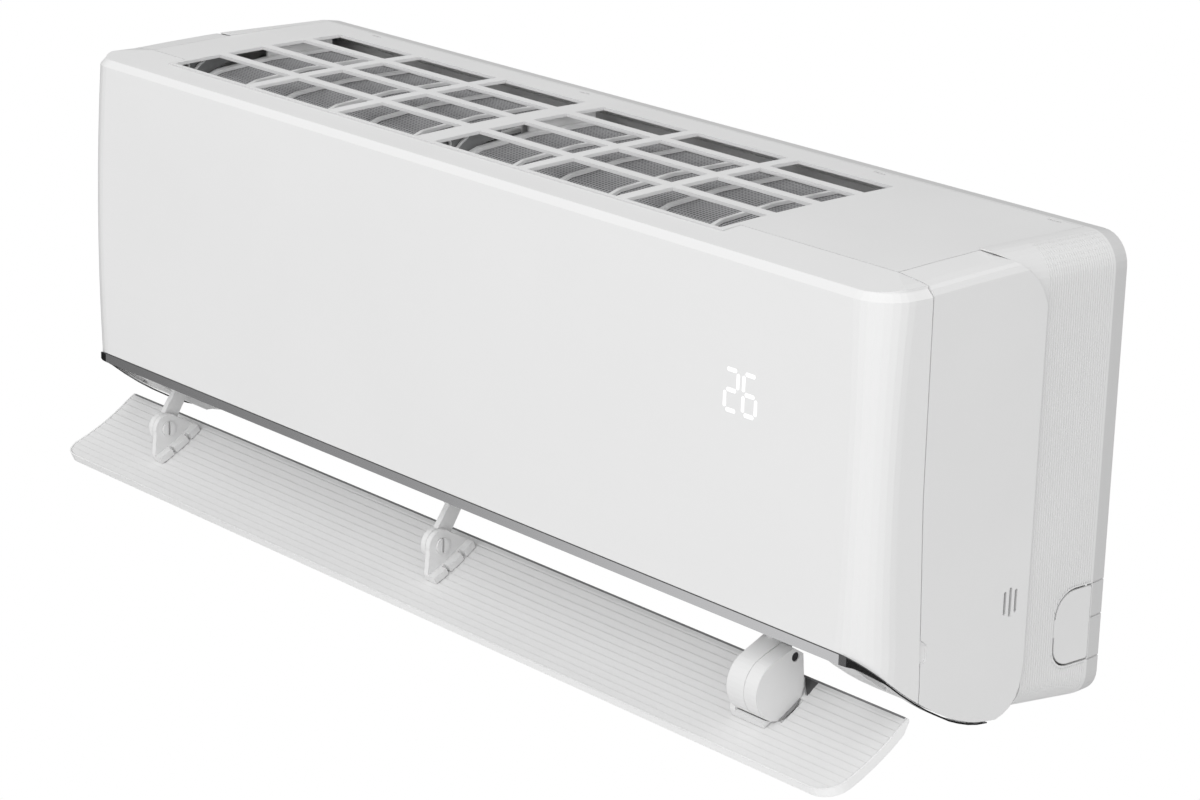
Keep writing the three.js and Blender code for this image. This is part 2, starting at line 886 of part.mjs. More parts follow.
function rearOutline(depth, inset) {
  const [side, low, high] = [rearHalf - inset, rearFloorAt(depth) + inset, bodyHeight - inset];
  const [top, bottom] = [rearTopCorner - inset, rearBottomCorner - inset];
  return [
    ...arc(side - top, high - top, top, 0, 90, 8),
    ...arc(-side + top, high - top, top, 90, 180, 8),
    ...arc(-side + bottom, low + bottom, bottom, 180, 270, 8),
    ...arc(side - bottom, low + bottom, bottom, 270, 360, 8),
  ].map(([x, height]) => [x, yAt(depth), zAt(height)]);
}

// A block of the rear case's outline through (depth, inset) stations.
function rearBlock(stations) {
  return loft(stations.map(([depth, inset]) => rearOutline(depth, inset)));
}

function rearRing() {
  const block = rearBlock([
    [rearFront, 0],
    [bodyDepth - bevelDepth, 0],
    [bodyDepth - plateGap, bevelWidth],
  ]);
  // The shoulders reach forward over the caps' rounded rear corners.
  const above = capTopRear.map(([depth, height]) => [depth + seat, height + seat]);
  const shoulder = prism(
    [
      ...above, [rearFront + 1, above[above.length - 1][1] - 1],
      [rearFront + 1, bodyHeight + 1], [above[0][0], bodyHeight + 1],
    ],
    -halfWidth, halfWidth,
  ).intersect(rearBlock([[above[0][0] - 1, 0], [rearFront + 2, 0]]));
  const hollow = rearBlock([[above[0][0] - 2, wall], [backWallDepth, wall]]);
  const recess = rearBlock([[backWallDepth + wall, bevelWidth + wall], [bodyDepth + 1, bevelWidth + wall]]);
  const roof = box(-capInner, capInner, 0, caseTopRear + seat, bodyHeight - 2 * capWidth, bodyHeight + 1)
    .subtract(box(-capInner, capInner, backWallDepth - 1, bodyDepth, 0, bodyHeight - 12));
  const channel = box(
    -rearHalf + channelInset, rearHalf - channelInset,
    backWallDepth - 1, bodyDepth, pipeSlotBottom, pipeSlotTop,
  );
  const grooves = unite(bevelGrooves.map((height) => column(
    [
      [rearHalf + 1, bodyDepth - bevelDepth],
      [rearHalf - grooveDepth, bodyDepth - bevelDepth],
      [rearHalf - grooveDepth - bevelWidth, bodyDepth],
      [rearHalf + 1, bodyDepth],
    ],
    height - grooveWidth / 2, height + grooveWidth / 2,
  )));
  return block.add(shoulder).subtract(hollow).subtract(recess).subtract(roof).subtract(channel)
    .subtract(grooves).subtract(mirrored(grooves));
}

const scrollRise = bodyHeight - 115 - fanHeight;
const scrollLine = [
  [182, fanHeight + scrollRise],
  [174, fanHeight + 0.6 * scrollRise],
  [170, fanHeight + 0.25 * scrollRise],
  [168, 122],
  [162, 92],
  [148, 62],
  [129, 37],
  [108, 17],
];
const tongueLine = [
  [67, 122],
  [69.5, 113],
  [64, 101],
  [40, 88.5],
  [18, 80],
  [11, 77.5],
];

function knockoutOutline(inset, rearGap = inset) {
  const [r, q] = [knockoutTopRadius - inset, knockoutBottomRadius - inset];
  const front = knockoutFront + inset;
  const rear = knockoutRear - rearGap;
  const top = knockoutTop - inset;
  const bottom = knockoutBottom + inset;
  return [
    [rear, top],
    ...arc(front + r, top - r, r, 90, 180, 6),
    ...arc(front + q, bottom + q, q, 180, 270, 6),
    [rear, bottom],
  ];
}

// Lays a solid drawn about a vane's axis (X across, Y downstream, Z up the axis) into its place.
function seatVane(shape, x) {
  return shape
    .rotate([vaneLean - 90, 0, 0])
    .translate([x, yAt(vaneBase[0]), zAt(vaneBase[1])]);
}

function upright(radius, x, s, n0, n1, sides = 10) {
  const geometry = new THREE.CylinderGeometry(radius, radius, n1 - n0, sides);
  geometry.rotateX(Math.PI / 2);
  return solid(geometry.translate(x, s, (n0 + n1) / 2));
}

function block(x0, x1, s0, s1, n0, n1) {
  const geometry = new THREE.BoxGeometry(x1 - x0, s1 - s0, n1 - n0);
  return solid(geometry.translate((x0 + x1) / 2, (s0 + s1) / 2, (n0 + n1) / 2));
}

function rearCaseShape() {
  const scroll = prism(ribbon(scrollLine, wall), -ductHalfWidth, ductHalfWidth);
  const lip = scrollLine[scrollLine.length - 1];
  const floor = prism(
    [
      [lip[0], lip[1]],
      [rearFront + 1, rearFloorAt(rearFront) + 2 * wall],
      [backWallDepth + 1, rearFloorAt(backWallDepth) + wall],
      [backWallDepth + 1, rearFloorAt(backWallDepth) + wall / 2],
      [rearFront + 1, rearFloorAt(rearFront) + wall / 2],
      [lip[0] + 2, lip[1] - wall],
    ],
    -capInner + seat, capInner - seat,
  );
  const ribs = [-ductHalfWidth, 0, ductHalfWidth - wall].map((x) => prism(
    [
      [scrollLine[1][0], scrollLine[1][1] - 12],
      [backWallDepth + 1, scrollLine[1][1] - 22],
      [backWallDepth + 1, scrollLine[0][1] - 6],
      [scrollLine[0][0] + 1, scrollLine[0][1] - 6],
    ],
    x, x + wall,
  ));
  const catchFloor = plateHookHeight + plateHookRise + seat;
  const catchRear = bodyDepth - plateHookReach / 2 + catchThickness / 4;
  const catches = plateHookXs.map((x) => prism(
    [
      [backWallDepth + 1, catchFloor],
      [catchRear - catchThickness, catchFloor],
      [catchRear - catchThickness, plateHookHeight + 2 * plateThickness],
      [catchRear, plateHookHeight + 2 * plateThickness],
      [catchRear, catchFloor + catchThickness],
      [backWallDepth + 1, catchFloor + catchThickness],
    ],
    x - plateHookWidth / 2 + 2, x + plateHookWidth / 2 - 2,
  ));
  const holes = Object.values(vaneXs).flat().map((x) => (
    seatVane(upright(vaneHoleRadius, 0, 0, -12, 12), x)
  ));
  const knockout = prism(knockoutOutline(0), rearHalf - 2 * wall, rearHalf + 1);
  return unite([rearRing(), scroll, floor, ...ribs, ...catches])
    .subtract(unite(holes)).subtract(knockout).subtract(mirrored(knockout));
}

part("rear_case", rearCaseShape(), ribbedPlastic);

// The covers hang in their cut-outs by a tab and a hinge strip, with an open slot round the rest.
function knockoutCover() {
  const rear = knockoutRear - seat;
  const outlines = [
    knockoutOutline(knockoutSlot, knockoutHinge / 2),
    [
      [rear, knockoutTop - knockoutSlot - 1],
      [rear - knockoutHinge, knockoutTop - knockoutSlot - 1],
      [rear - knockoutHinge, knockoutBottom + knockoutSlot + 1],
      [rear, knockoutBottom + knockoutSlot + 1],
    ],
    [
      [knockoutFront + seat, knockoutTab[0]],
      [knockoutFront + 2 * knockoutSlot, knockoutTab[0]],
      [knockoutFront + 2 * knockoutSlot, knockoutTab[1]],
      [knockoutFront + seat, knockoutTab[1]],
    ],
  ];
  return unite(outlines.map((outline) => prism(outline, rearHalf - knockoutThickness, rearHalf)));
}

const knockoutPlate = knockoutCover();
part("knockout_cover_right", knockoutPlate, ribbedPlastic);
part("knockout_cover_left", mirrored(knockoutPlate), ribbedPlastic);

// ---- Outlet duct: tongue, end plates and end ledges ---------------------------------------------

function ductShape() {
  const roof = prism(ribbon([...tongueLine].reverse(), wall), -ductHalfWidth, ductHalfWidth);
  const side = [
    ...tongueLine,
    [tongueLine[5][0] - 2, shaftHeight],
    ...undersideLine(undersideStart, undersideEnd, trimFloor),
    [scrollLine[7][0] - 3, scrollLine[7][1] - 1],
    ...[...scrollLine].reverse().map(([depth, height]) => [depth - seat, height + seat]).slice(0, 7),
  ];
  const plate = prism(side, ductHalfWidth - wall, ductHalfWidth);
  const shaftHole = rod(shaftRadius + runningGap, -halfWidth, halfWidth, shaftDepth, shaftHeight, 20);
  const bearingHole = rod(bearingRadius + seat, -halfWidth, 0, fanDepth, fanHeight, 24);
  const ledgeLine = [
    [undersideStart - 6, undersideHeight(undersideStart) + 8],
    ...undersideLine(undersideStart, undersideEnd, trimFloor),
    [scrollLine[7][0] - 4, scrollLine[7][1] - 4],
  ];
  const ledge = prism(ribbon(ledgeLine, wall), ductHalfWidth - 1, capInner - seat);
  const bearings = bearingXs.map((x) => box(
    x, x + bearingWidth, shaftDepth - 2.5, shaftDepth + 7, shaftHeight - 7, tongueLine[4][1] + 1,
  ));
  const sides = unite([plate, mirrored(plate), ledge, mirrored(ledge), ...bearings]);
  const bulkhead = prism(
    [
      ...tongueLine.slice(0, 3).map(([depth, height]) => [depth - wall / 2, height]),
      ...scrollLine.slice(1, 5).map(([depth, height]) => [depth - seat, height]).reverse(),
    ],
    bulkheadX, bulkheadX + wall,
  ).subtract(rod(fanShaftRadius + 3, 0, halfWidth, fanDepth, fanHeight));
  return unite([roof, sides, bulkhead]).subtract(shaftHole).subtract(bearingHole);
}

part("outlet_duct", ductShape(), ductPlastic);

// ---- Deflector arms -----------------------------------------------------------------------------

const arms = new THREE.Group();
group.add(arms);
const pivot = [yAt(pivotDepth), zAt(pivotHeight)];
const shaft = [yAt(shaftDepth), zAt(shaftHeight)];
const knee = along(pivot, kneeReach, armAngle);

// The crank from the shaft to the pivot, bent at the knee so that it leaves the duct along armAngle.
function crank(x0, x1, endHalf) {
  const half = armWidth / 2;
  const back = (Math.atan2(shaft[1] - knee[1], shaft[0] - knee[0]) * 180) / Math.PI;
  const lower = prismLocal([
    along(pivot, endHalf, armAngle + 90),
    along(knee, half, armAngle + 90),
    along(knee, half, armAngle - 90),
    along(pivot, endHalf, armAngle - 90),
  ], x0, x1);
  const upper = prismLocal([
    along(knee, half, back + 90),
    along(shaft, half, back + 90),
    along(shaft, half, back - 90),
    along(knee, half, back - 90),
  ], x0, x1);
  const bend = rodLocal(half, x0, x1, knee[0], knee[1], 18);
  const hub = rodLocal(half, x0, x1, shaft[0], shaft[1], 18);
  return unite([lower, upper, bend, hub]);
}

const shaftBore = rodLocal(shaftRadius + seat / 2, -halfWidth, halfWidth, shaft[0], shaft[1], 20);

function armShape(x1) {
  const x0 = x1 - armThickness;
  const boss = rodLocal(armBossRadius, x0, x1, pivot[0], pivot[1], 26);
  const pin = rodLocal(pinRadius, x1 - 1, x1 + seat + earThickness + 2, pivot[0], pivot[1], 16);
  const barbStart = x1 + 2 * seat + earThickness;
  const barb = rodLocal(pinRadius + 0.9, barbStart, barbStart + 1.6, pivot[0], pivot[1], 16);
  const slot = box(
    x1 + 1, x1 + earThickness + 4, pivotDepth - 1, pivotDepth + 1,
    pivotHeight - 2 * pinRadius, pivotHeight + 2 * pinRadius,
  );
  return unite([crank(x0, x1, armWidth / 2 + 1), boss, pin.add(barb).subtract(slot)]).subtract(shaftBore);
}

part("deflector_arm_left", armShape(-armSpacing - earThickness / 2 - seat), casePlastic, arms);
part("deflector_arm_middle", armShape(-earThickness / 2 - seat), casePlastic, arms);

const housingRight = armSpacing + tiltHousingLength / 2 - 5;
const housingLeft = housingRight - tiltHousingLength;
const housingSplit = housingRight - tiltHousingSplit;
const neckHalf = 5.2;

function teardrop(radius, reach, half) {
  const lean = 54;
  return [
    ...arc(pivot[0], pivot[1], radius, armAngle + lean, armAngle + 360 - lean, 26),
    along(along(pivot, reach, armAngle), half, armAngle - 90),
    along(along(pivot, reach, armAngle), half, armAngle + 90),
  ];
}

function housingBase() {
  const outline = teardrop(tiltHousingRadius, tiltScrewReach + 7, neckHalf);
  const shell = prismLocal(outline, housingLeft, housingSplit);
  const hollow = rodLocal(
    tiltHousingRadius - wall, housingLeft + wall, housingSplit + 1, pivot[0], pivot[1], 32,
  );
  const arm = crank(housingLeft + 4, housingLeft + 4 + armThickness, neckHalf);
  const window = rodLocal(driveRadius + 1, housingLeft - 1, housingLeft + wall + 1, pivot[0], pivot[1], 20);
  const screw = along(pivot, tiltScrewReach, armAngle);
  const pilot = rodLocal(screwHead / 2, housingSplit - 5, housingSplit + 1, screw[0], screw[1], 12);
  return shell.add(arm).subtract(hollow).subtract(window).subtract(pilot).subtract(shaftBore);
}

function housingCover() {
  const shell = prismLocal(
    teardrop(tiltHousingRadius, tiltScrewReach + 4.5, neckHalf), housingSplit + seat, housingRight,
  );
  const hollow = rodLocal(
    tiltHousingRadius - wall, housingSplit, housingRight - wall, pivot[0], pivot[1], 32,
  );
  const screw = along(pivot, tiltScrewReach, armAngle);
  const sink = rodLocal(screwHead + seat, housingRight - 2.6, housingRight + 1, screw[0], screw[1], 16);
  const through = rodLocal(screwHead / 2 + seat, housingSplit, housingRight, screw[0], screw[1], 12);
  return shell.subtract(hollow).subtract(sink).subtract(through);
}

part("tilt_housing", housingBase(), casePlastic, arms);
part("tilt_housing_cover", housingCover(), casePlastic, arms);
const screwAt = along(pivot, tiltScrewReach, armAngle);
const screwSeat = housingRight - 2.6 + seat;
const tiltScrew = rodLocal(screwHead, screwSeat, housingRight - 0.8, screwAt[0], screwAt[1], 16)
  .add(rodLocal(screwHead / 2 - seat / 3, housingSplit - 4, screwSeat + 0.5, screwAt[0], screwAt[1], 12));
part("tilt_housing_screw", tiltScrew, zincSteel, arms);
const motorLeft = housingLeft + wall + 2;
const tiltMotor = rodLocal(
  tiltHousingRadius - wall - seat, motorLeft, housingRight - wall - seat, pivot[0], pivot[1], 24,
);
part("tilt_motor", tiltMotor, steel, arms);
part(
  "arm_shaft",
  rodLocal(shaftRadius, -ductHalfWidth - 1, ductHalfWidth + 6, shaft[0], shaft[1], 16),
  steel, arms,
);
part(
  "arm_motor",
  rod(armMotorRadius, ductHalfWidth + 6 + seat, capInner - seat - 3.5, shaftDepth, shaftHeight, 20),
  zincSteel,
);

// ---- Deflector ----------------------------------------------------------------------------------

// Drawn level about its pivot: a runs from the front edge to the rear edge, b up from the chord.
const deflector = new THREE.Group();
group.add(deflector);

const sag = deflectorRadius - Math.sqrt(deflectorRadius ** 2 - (deflectorChord / 2) ** 2);

function bowl(a, drop) {
  const off = a - deflectorChord / 2;
  return deflectorRadius - sag - Math.sqrt(deflectorRadius ** 2 - off ** 2) - drop;
}

function bowlLine(a0, a1, drop, steps) {
  return Array.from({ length: steps + 1 }, (_, i) => {
    const a = a0 + ((a1 - a0) * i) / steps;
    return [a, bowl(a, drop)];
  });
}

function deflectorPlan(inset) {
  const r = deflectorCorner - inset;
  const side = halfWidth - inset;
  return [
    ...arc(-side + r, inset + r, r, 180, 270, 6),
    ...arc(side - r, inset + r, r, 270, 360, 6),
    [side, deflectorChord + 10],
    [-side, deflectorChord + 10],
  ];
}

// Turns a solid drawn with a along Y and b along Z into its place.
function seatDeflector(shape) {
  return shape
    .translate([0, -deflectorFront, -deflectorRise])
    .rotate([deflectorTilt, 0, 0])
    .translate([0, pivot[0], pivot[1]]);
}

function planColumn(points) {
  return solid(extrude(points, 60).translate(0, 0, -40));
}

// Clearance for the tilt motor's housing, which turns in the deflector's trough.
function drumTrough() {
  return rodLocal(
    tiltHousingRadius + runningGap, housingLeft - runningGap, housingRight + troughGap,
    deflectorFront, deflectorRise, 48,
  );
}

// What the top loses towards the rear edge, so that it shuts clear of the trim.
function rearRelief() {
  const start = deflectorChord - rearEaseLength;
  return prismLocal(
    [
      [start, bowl(start, 0)],
      [deflectorChord + 1, bowl(deflectorChord, rearEase)],
      [deflectorChord + 1, 20],
      [start, 20],
    ],
    -halfWidth - 1, halfWidth + 1,
  );
}

function skinShape() {
  const outerLine = bowlLine(0, deflectorChord, 0, 10).map(([a, b]) => {
    const t = Math.max((a - deflectorChord + deflectorTaper) / deflectorTaper, 0);
    return [a, b - (deflectorRim + (deflectorEdge - deflectorRim) * t)];
  });
  const section = [...bowlLine(0, deflectorChord, 0, 10), ...outerLine.reverse()];
  const shell = prismLocal(section, -halfWidth, halfWidth);
  const bowlTop = bowlLine(rimWidth, deflectorChord + 5, -5, 10);
  const pocketFloor = bowlLine(rimWidth, deflectorChord + 5, linerDepth, 10);
  const pocket = prismLocal([...bowlTop, ...pocketFloor.reverse()], -halfWidth, halfWidth);
  return shell
    .intersect(planColumn(deflectorPlan(0)))
    .subtract(pocket.intersect(planColumn(deflectorPlan(rimWidth))))
    .subtract(drumTrough())
    .subtract(rearRelief());
}

// A corner cut out of the liner behind a pivot, from x to the right and up to the rear edge.
function linerPocket(x) {
  return planColumn([
    [x, deflectorChord + 1],
    [x + pocketWidth, deflectorChord + 1],
    [x + pocketWidth, deflectorChord - pocketReach],
    [x + pocketWidth - 2, deflectorChord - pocketReach],
  ]);
}

function linerShape() {
  const top = [];
  const run = deflectorChord - rimWidth - seat;
  for (let i = 0; i < linerRibs; i += 1) {
    const a0 = rimWidth + seat + (run * i) / linerRibs;
    const a1 = rimWidth + seat + (run * (i + 1)) / linerRibs;
    top.push([a0, bowl(a0, ribStep)], [a1 - 0.01, bowl(a1, 0)]);
  }
  const bottom = bowlLine(rimWidth + seat, deflectorChord, linerDepth - seat, 10);
  return prismLocal([...top, ...bottom.reverse()], -halfWidth, halfWidth)
    .intersect(planColumn(deflectorPlan(rimWidth + seat)))
    .subtract(drumTrough())
    .subtract(linerPocket(housingRight + troughGap - pocketWidth))
    .subtract(rearRelief());
}

part("deflector_skin", seatDeflector(skinShape()), glossWhite, deflector);
part("deflector_liner", seatDeflector(linerShape()), casePlastic, deflector);

function earShape(x0, x1, bore) {
  const [px, pz] = [deflectorFront, deflectorRise];
  const front = px - earFootFront;
  const rear = front + earFoot;
  const outline = [
    [front, bowl(front, -seat)],
    [front, bowl(front, -seat - footHeight)],
    ...arc(px, pz, armBossRadius, 168, 21, 10),
    [rear, bowl(rear, -seat - footHeight)],
    [rear, bowl(rear, -seat)],
    ...bowlLine(front, rear, -seat, 6).slice(1, -1).reverse(),
  ];
  const base = bowlLine(front, rear, -seat, 6);
  const top = bowlLine(front, rear, -seat - footHeight, 6);
  const foot = prismLocal([...base, ...top.reverse()], x1 - 1, x1 + footWidth);
  const notches = unite([px - footNotchReach, px + footNotchReach].map((a) => prismLocal(
    [[a, 30], [a + footNotch, 30], [a + footNotch, -20], [a, -20]], x1 + 2, x1 + footWidth + 1,
  )));
  return prismLocal(outline, x0, x1).add(foot.subtract(notches))
    .subtract(rodLocal(bore, x0 - 1, x1 + 1, px, pz, 28));
}

const earHalf = earThickness / 2;
part(
  "deflector_ear_left",
  seatDeflector(earShape(-armSpacing - earHalf, -armSpacing + earHalf, pinRadius + runningGap)),
  casePlastic, deflector,
);
part(
  "deflector_ear_middle",
  seatDeflector(earShape(-earHalf, earHalf, pinRadius + runningGap)),
  casePlastic, deflector,
);
const rightEarX = housingLeft - runningGap - earThickness;

function rightEar() {
  const [px, pz] = [deflectorFront, deflectorRise];
  const front = px - earFootFront;
  const rear = front + earFoot;
  const cradleRight = housingRight - cradleInset;
  const base = bowlLine(front, rear, -seat, 6);
  const top = bowlLine(front, rear, -seat - cradleHeight, 6);
  const clear = rodLocal(
    tiltHousingRadius + 2 * runningGap, rightEarX + earThickness, cradleRight + 1, px, pz, 48,
  );
  const cradle = prismLocal([...base, ...top.reverse()], rightEarX, cradleRight);
  const plate = earShape(rightEarX, rightEarX + earThickness, driveRadius + runningGap);
  return plate.add(cradle).subtract(clear);
}

part("deflector_ear_right", seatDeflector(rightEar()), casePlastic, deflector);

const drive = rodLocal(driveRadius, rightEarX - 1.2, motorLeft - seat, pivot[0], pivot[1], 18);
part("tilt_drive", drive, steel);

// ---- Fan ----------------------------------------------------------------------------------------

const fan = new THREE.Group();
fan.position.set(0, yAt(fanDepth), zAt(fanHeight));
group.add(fan);

function bladeOutline(angle) {
  const inner = along([0, 0], fanRadius - 12.5, angle);
  const middle = along([0, 0], fanRadius - 6, angle + 6.5);
  const outer = along([0, 0], fanRadius - 0.8, angle + 9);
  return ribbon([inner, middle, outer], bladeThickness);
}

const fanDiscXs = [fanLeft, fanLeft / 2 + fanRight / 2, fanRight - fanDisc];

function fanShape() {
  const discs = fanDiscXs.map((x, i) => {
    const solidDisc = i === 0 || i === fanDiscXs.length - 1;
    const disc = rodLocal(fanRadius, x, x + fanDisc, 0, 0, 32);
    return solidDisc ? disc : disc.subtract(rodLocal(fanRadius - 14, x - 1, x + fanDisc + 1, 0, 0, 24));
  });
  const blades = Array.from({ length: fanBlades }, (_, i) => (
    prismLocal(bladeOutline((360 * i) / fanBlades), fanLeft + 1, fanRight - 1)
  ));
  return unite([...discs, ...blades])
    .subtract(rodLocal(fanShaftRadius + seat / 2, fanLeft - 1, fanRight + 1, 0, 0, 20));
}

part("cross_flow_fan", fanShape(), fanGrey, fan);
part("fan_shaft", rodLocal(fanShaftRadius, fanLeft - 14, motorFace - seat, 0, 0, 18), steel, fan);
const bearing = rod(bearingRadius, -ductHalfWidth - 2, -ductHalfWidth + wall + 2, fanDepth, fanHeight)
  .subtract(rod(fanShaftRadius + runningGap, -halfWidth, 0, fanDepth, fanHeight, 20));
part("fan_bearing", bearing, rubber);

const motorBody = rod(motorRadius, motorFace, motorFace + motorLength, fanDepth, fanHeight, 32);
part("fan_motor", motorBody, zincSteel);
const clampBore = rod(motorRadius + seat, motorFace, motorFace + motorLength, fanDepth, fanHeight, 32);
const clampRing = rod(
  motorRadius + seat + wall, motorFace + clampWidth, motorFace + 2 * clampWidth, fanDepth, fanHeight, 32,
);
const behindScroll = prism(
  [
    ...scrollLine.map(([depth, height]) => [depth - seat, height]),
    [scrollLine[7][0] + 10, 0], [2 * backWallDepth, 0],
    [2 * backWallDepth, bodyHeight], [scrollLine[0][0], bodyHeight],
  ],
  0, ductHalfWidth,
);
const clampFoot = box(
  motorFace + clampWidth, motorFace + 2 * clampWidth, fanDepth + motorRadius - 5, backWallDepth,
  fanHeight - clampFootHeight / 2, fanHeight + clampFootHeight / 2,
);
part("motor_clamp", clampRing.add(clampFoot.subtract(behindScroll)).subtract(clampBore), ductPlastic);

// ---- Heat exchanger, pan and pipes --------------------------------------------------------------

function slab(from, to, x0, x1, thickness = coilThickness) {
  const angle = (Math.atan2(to[1] - from[1], to[0] - from[0]) * 180) / Math.PI;
  const half = thickness / 2;
  return prism([
    along(from, half, angle + 90), along(to, half, angle + 90),
    along(to, half, angle - 90), along(from, half, angle - 90),
  ], x0, x1);
}

const coilLines = {
  lower: [[46, 107], [41, bodyHeight - 115]],
  upper: [[50, bodyHeight - 105], [104, bodyHeight - 40]],
  rear: [[125, bodyHeight - 41], [172, bodyHeight - 106]],
};
for (const [name, [from, to]] of Object.entries(coilLines)) {
  part(`evaporator_${name}`, slab(from, to, coilLeft, coilRight), aluminium);
}

// Return bends of the heat exchanger's tubes, spaced along one slab's end.
function bendsFor([from, to], x, side) {
  const angle = (Math.atan2(to[1] - from[1], to[0] - from[0]) * 180) / Math.PI;
  const length = Math.hypot(to[0] - from[0], to[1] - from[1]);
  return Array.from({ length: bendsPerSlab }, (_, i) => {
    const centre = along(from, (length * (i + 0.5)) / bendsPerSlab, angle);
    const points = Array.from({ length: 7 }, (_, k) => {
      const t = (Math.PI * k) / 6;
      const at = along(centre, (-tubeBend / 2) * Math.cos(t), angle);
      return new THREE.Vector3(x + side * Math.sin(t) * (tubeBend / 2), yAt(at[0]), zAt(at[1]));
    });
    return tube(points, tubeRadius, 6);
  });
}

const panLine = [
  [26, 103],
  [26, 88.2],
  [58, 103.7],
  [60, 112.2],
];

function panFloor(depth) {
  const [, front, rear] = panLine;
  return front[1] + ((rear[1] - front[1]) * (depth - front[0])) / (rear[0] - front[0]);
}

function tubeSheet(x0, side) {
  const lines = Object.values(coilLines);
  const x1 = x0 + sheetThickness;
  const plates = lines.map(([from, to]) => slab(from, to, x0, x1));
  const bends = lines.flatMap((line) => bendsFor(line, side > 0 ? x1 - 0.4 : x0 + 0.4, side));
  const { lower, upper, rear } = coilLines;
  const joins = [slab(lower[1], upper[0], x0, x1, coilJoin), slab(upper[1], rear[0], x0, x1, coilJoin)];
  const foot = [sheetFoot[0], sheetFoot[1]].map((depth) => [depth, panFloor(depth) + seat]);
  const feet = prism([...foot, [sheetFoot[1], sheetFoot[2]], [sheetFoot[0], sheetFoot[2]]], x0, x1);
  return unite([...plates, ...joins, ...bends, feet]);
}

part("tube_sheet_left", tubeSheet(coilLeft - seat - sheetThickness, -1), copper);
part("tube_sheet_right", tubeSheet(coilRight + seat, 1), copper);

const pan = prism(ribbon([...panLine].reverse(), panThickness), coilLeft - 8, coilRight + 8);
part("drain_pan", pan, ductPlastic);

// ---- Electrical box, display and button ---------------------------------------------------------

const innerRear = boxRear - wall;
const buttonHole = rodAlongY(buttonRadius + runningGap, buttonX, boxFront - 10, boxFront + 1, buttonHeight);
const electricBox = box(boxLeft, boxRight, boxFront, boxRear, boxBottom, boxTop)
  .subtract(box(boxLeft + wall, boxRight - wall, boxFront - 1, innerRear, boxBottom + wall, boxTop - wall));
part("electric_box", electricBox, darkPlastic);
const boxCover = box(
  boxLeft, boxRight, boxFront - seat - coverThickness, boxFront - seat, boxBottom, boxTop,
);
part("electric_box_cover", boxCover.subtract(buttonHole), zincSteel);

const boardBack = innerRear - boardStandOff;
const boardFront = boardBack - boardThickness;
const board = box(
  boxLeft + wall + seat, boxRight - wall - seat, boardFront, boardBack,
  boxBottom + wall + seat, boxTop - wall - seat,
);
const boxWidth = boxRight - boxLeft;
const boxHeight = boxTop - boxBottom;

// The board's larger parts, placed and sized as shares of the box.
const chips = [
  { x: 0.12, h: 0.19, width: 0.25, length: 0.19, rise: 0.37 },
  { x: 0.51, h: 0.13, width: 0.27, length: 0.11, rise: 0.28 },
  { x: 0.2, h: 0.54, width: 0.31, length: 0.16, rise: 0.51 },
  { x: 0.65, h: 0.5, width: 0.14, length: 0.25, rise: 0.23 },
  { x: 0.57, h: 0.81, width: 0.2, length: 0.1, rise: 0.42 },
].map((chip) => box(
  boxLeft + chip.x * boxWidth, boxLeft + (chip.x + chip.width) * boxWidth,
  boardFront - chip.rise * (boxRear - boxFront), boardBack - 1,
  boxBottom + chip.h * boxHeight, boxBottom + (chip.h + chip.length) * boxHeight,
));
const postXs = [boxLeft + postInset, boxRight - postInset - postWidth];
const postHeights = [boxBottom + postInset, boxTop - postInset - postWidth];
const posts = postXs.flatMap((x) => postHeights.map((h) => (
  box(x, x + postWidth, boardBack - 1, innerRear - seat, h, h + postWidth)
)));
part("control_board", unite([board, ...chips, ...posts]), boardGreen);

const blockTop = boxBottom - seat;
const blockLeft = boxLeft + blockInset;
const blockWidth = terminalCount * terminalPitch + blockBorder;
const terminals = Array.from({ length: terminalCount }, (_, i) => {
  const x = blockLeft + blockBorder + i * terminalPitch;
  return box(
    x, x + terminalPitch - blockBorder, boxFront, boxFront + 2 * blockBorder,
    blockTop - blockRise + blockBorder, blockTop - blockBorder,
  );
});
const terminalBlock = box(
  blockLeft, blockLeft + blockWidth, boxFront + blockBorder, boxRear - blockBorder,
  blockTop - blockRise, blockTop,
);
part("terminal_block", terminalBlock.subtract(unite(terminals)), darkPlastic);

const displayBoard = box(
  displayX - displayWidth / 2, displayX + displayWidth / 2, displayDepth, displayDepth + boardThickness,
  displayHeight - displayRise / 2, displayHeight + displayRise / 2,
);
const lampWidth = displayWidth - 2 * lampBorder;
const lampRise = displayRise - 2 * lampBorder;
const displayLamp = box(
  displayX - lampWidth / 2, displayX + lampWidth / 2,
  displayDepth - lampDepth, displayDepth + boardThickness / 2,
  displayHeight - lampRise / 2, displayHeight + lampRise / 2,
);
const displayPosts = [-1, 1].flatMap((side) => [-1, 1].map((rise) => {
  const x = displayX + side * (displayWidth / 2 - postInset);
  const height = displayHeight + rise * (displayRise / 2 - postInset);
  return box(
    x - postWidth / 2, x + postWidth / 2,
    displayDepth + boardThickness / 2, boxFront - 2 * seat - coverThickness,
    height - postWidth / 2, height + postWidth / 2,
  );
}));
part("display_board", unite([displayBoard, displayLamp, ...displayPosts]), boardGreen);

const buttonStem = rodAlongY(buttonRadius, buttonX, boxFront - buttonReach, boxFront + 1, buttonHeight);
const buttonFlange = rodAlongY(
  buttonRadius + flangeWidth, buttonX, boxFront, boxFront + flangeWidth, buttonHeight,
);
part("manual_button", buttonStem.add(buttonFlange), casePlastic);

// ---- Refrigerant pipes and drain hose -----------------------------------------------------------

const sheetEnd = coilRight + seat + sheetThickness + seat;
const [rearTop, rearBottom] = coilLines.rear;

function onRearCoil(share) {
  return rearTop.map((value, i) => value + (rearBottom[i] - value) * share);
}

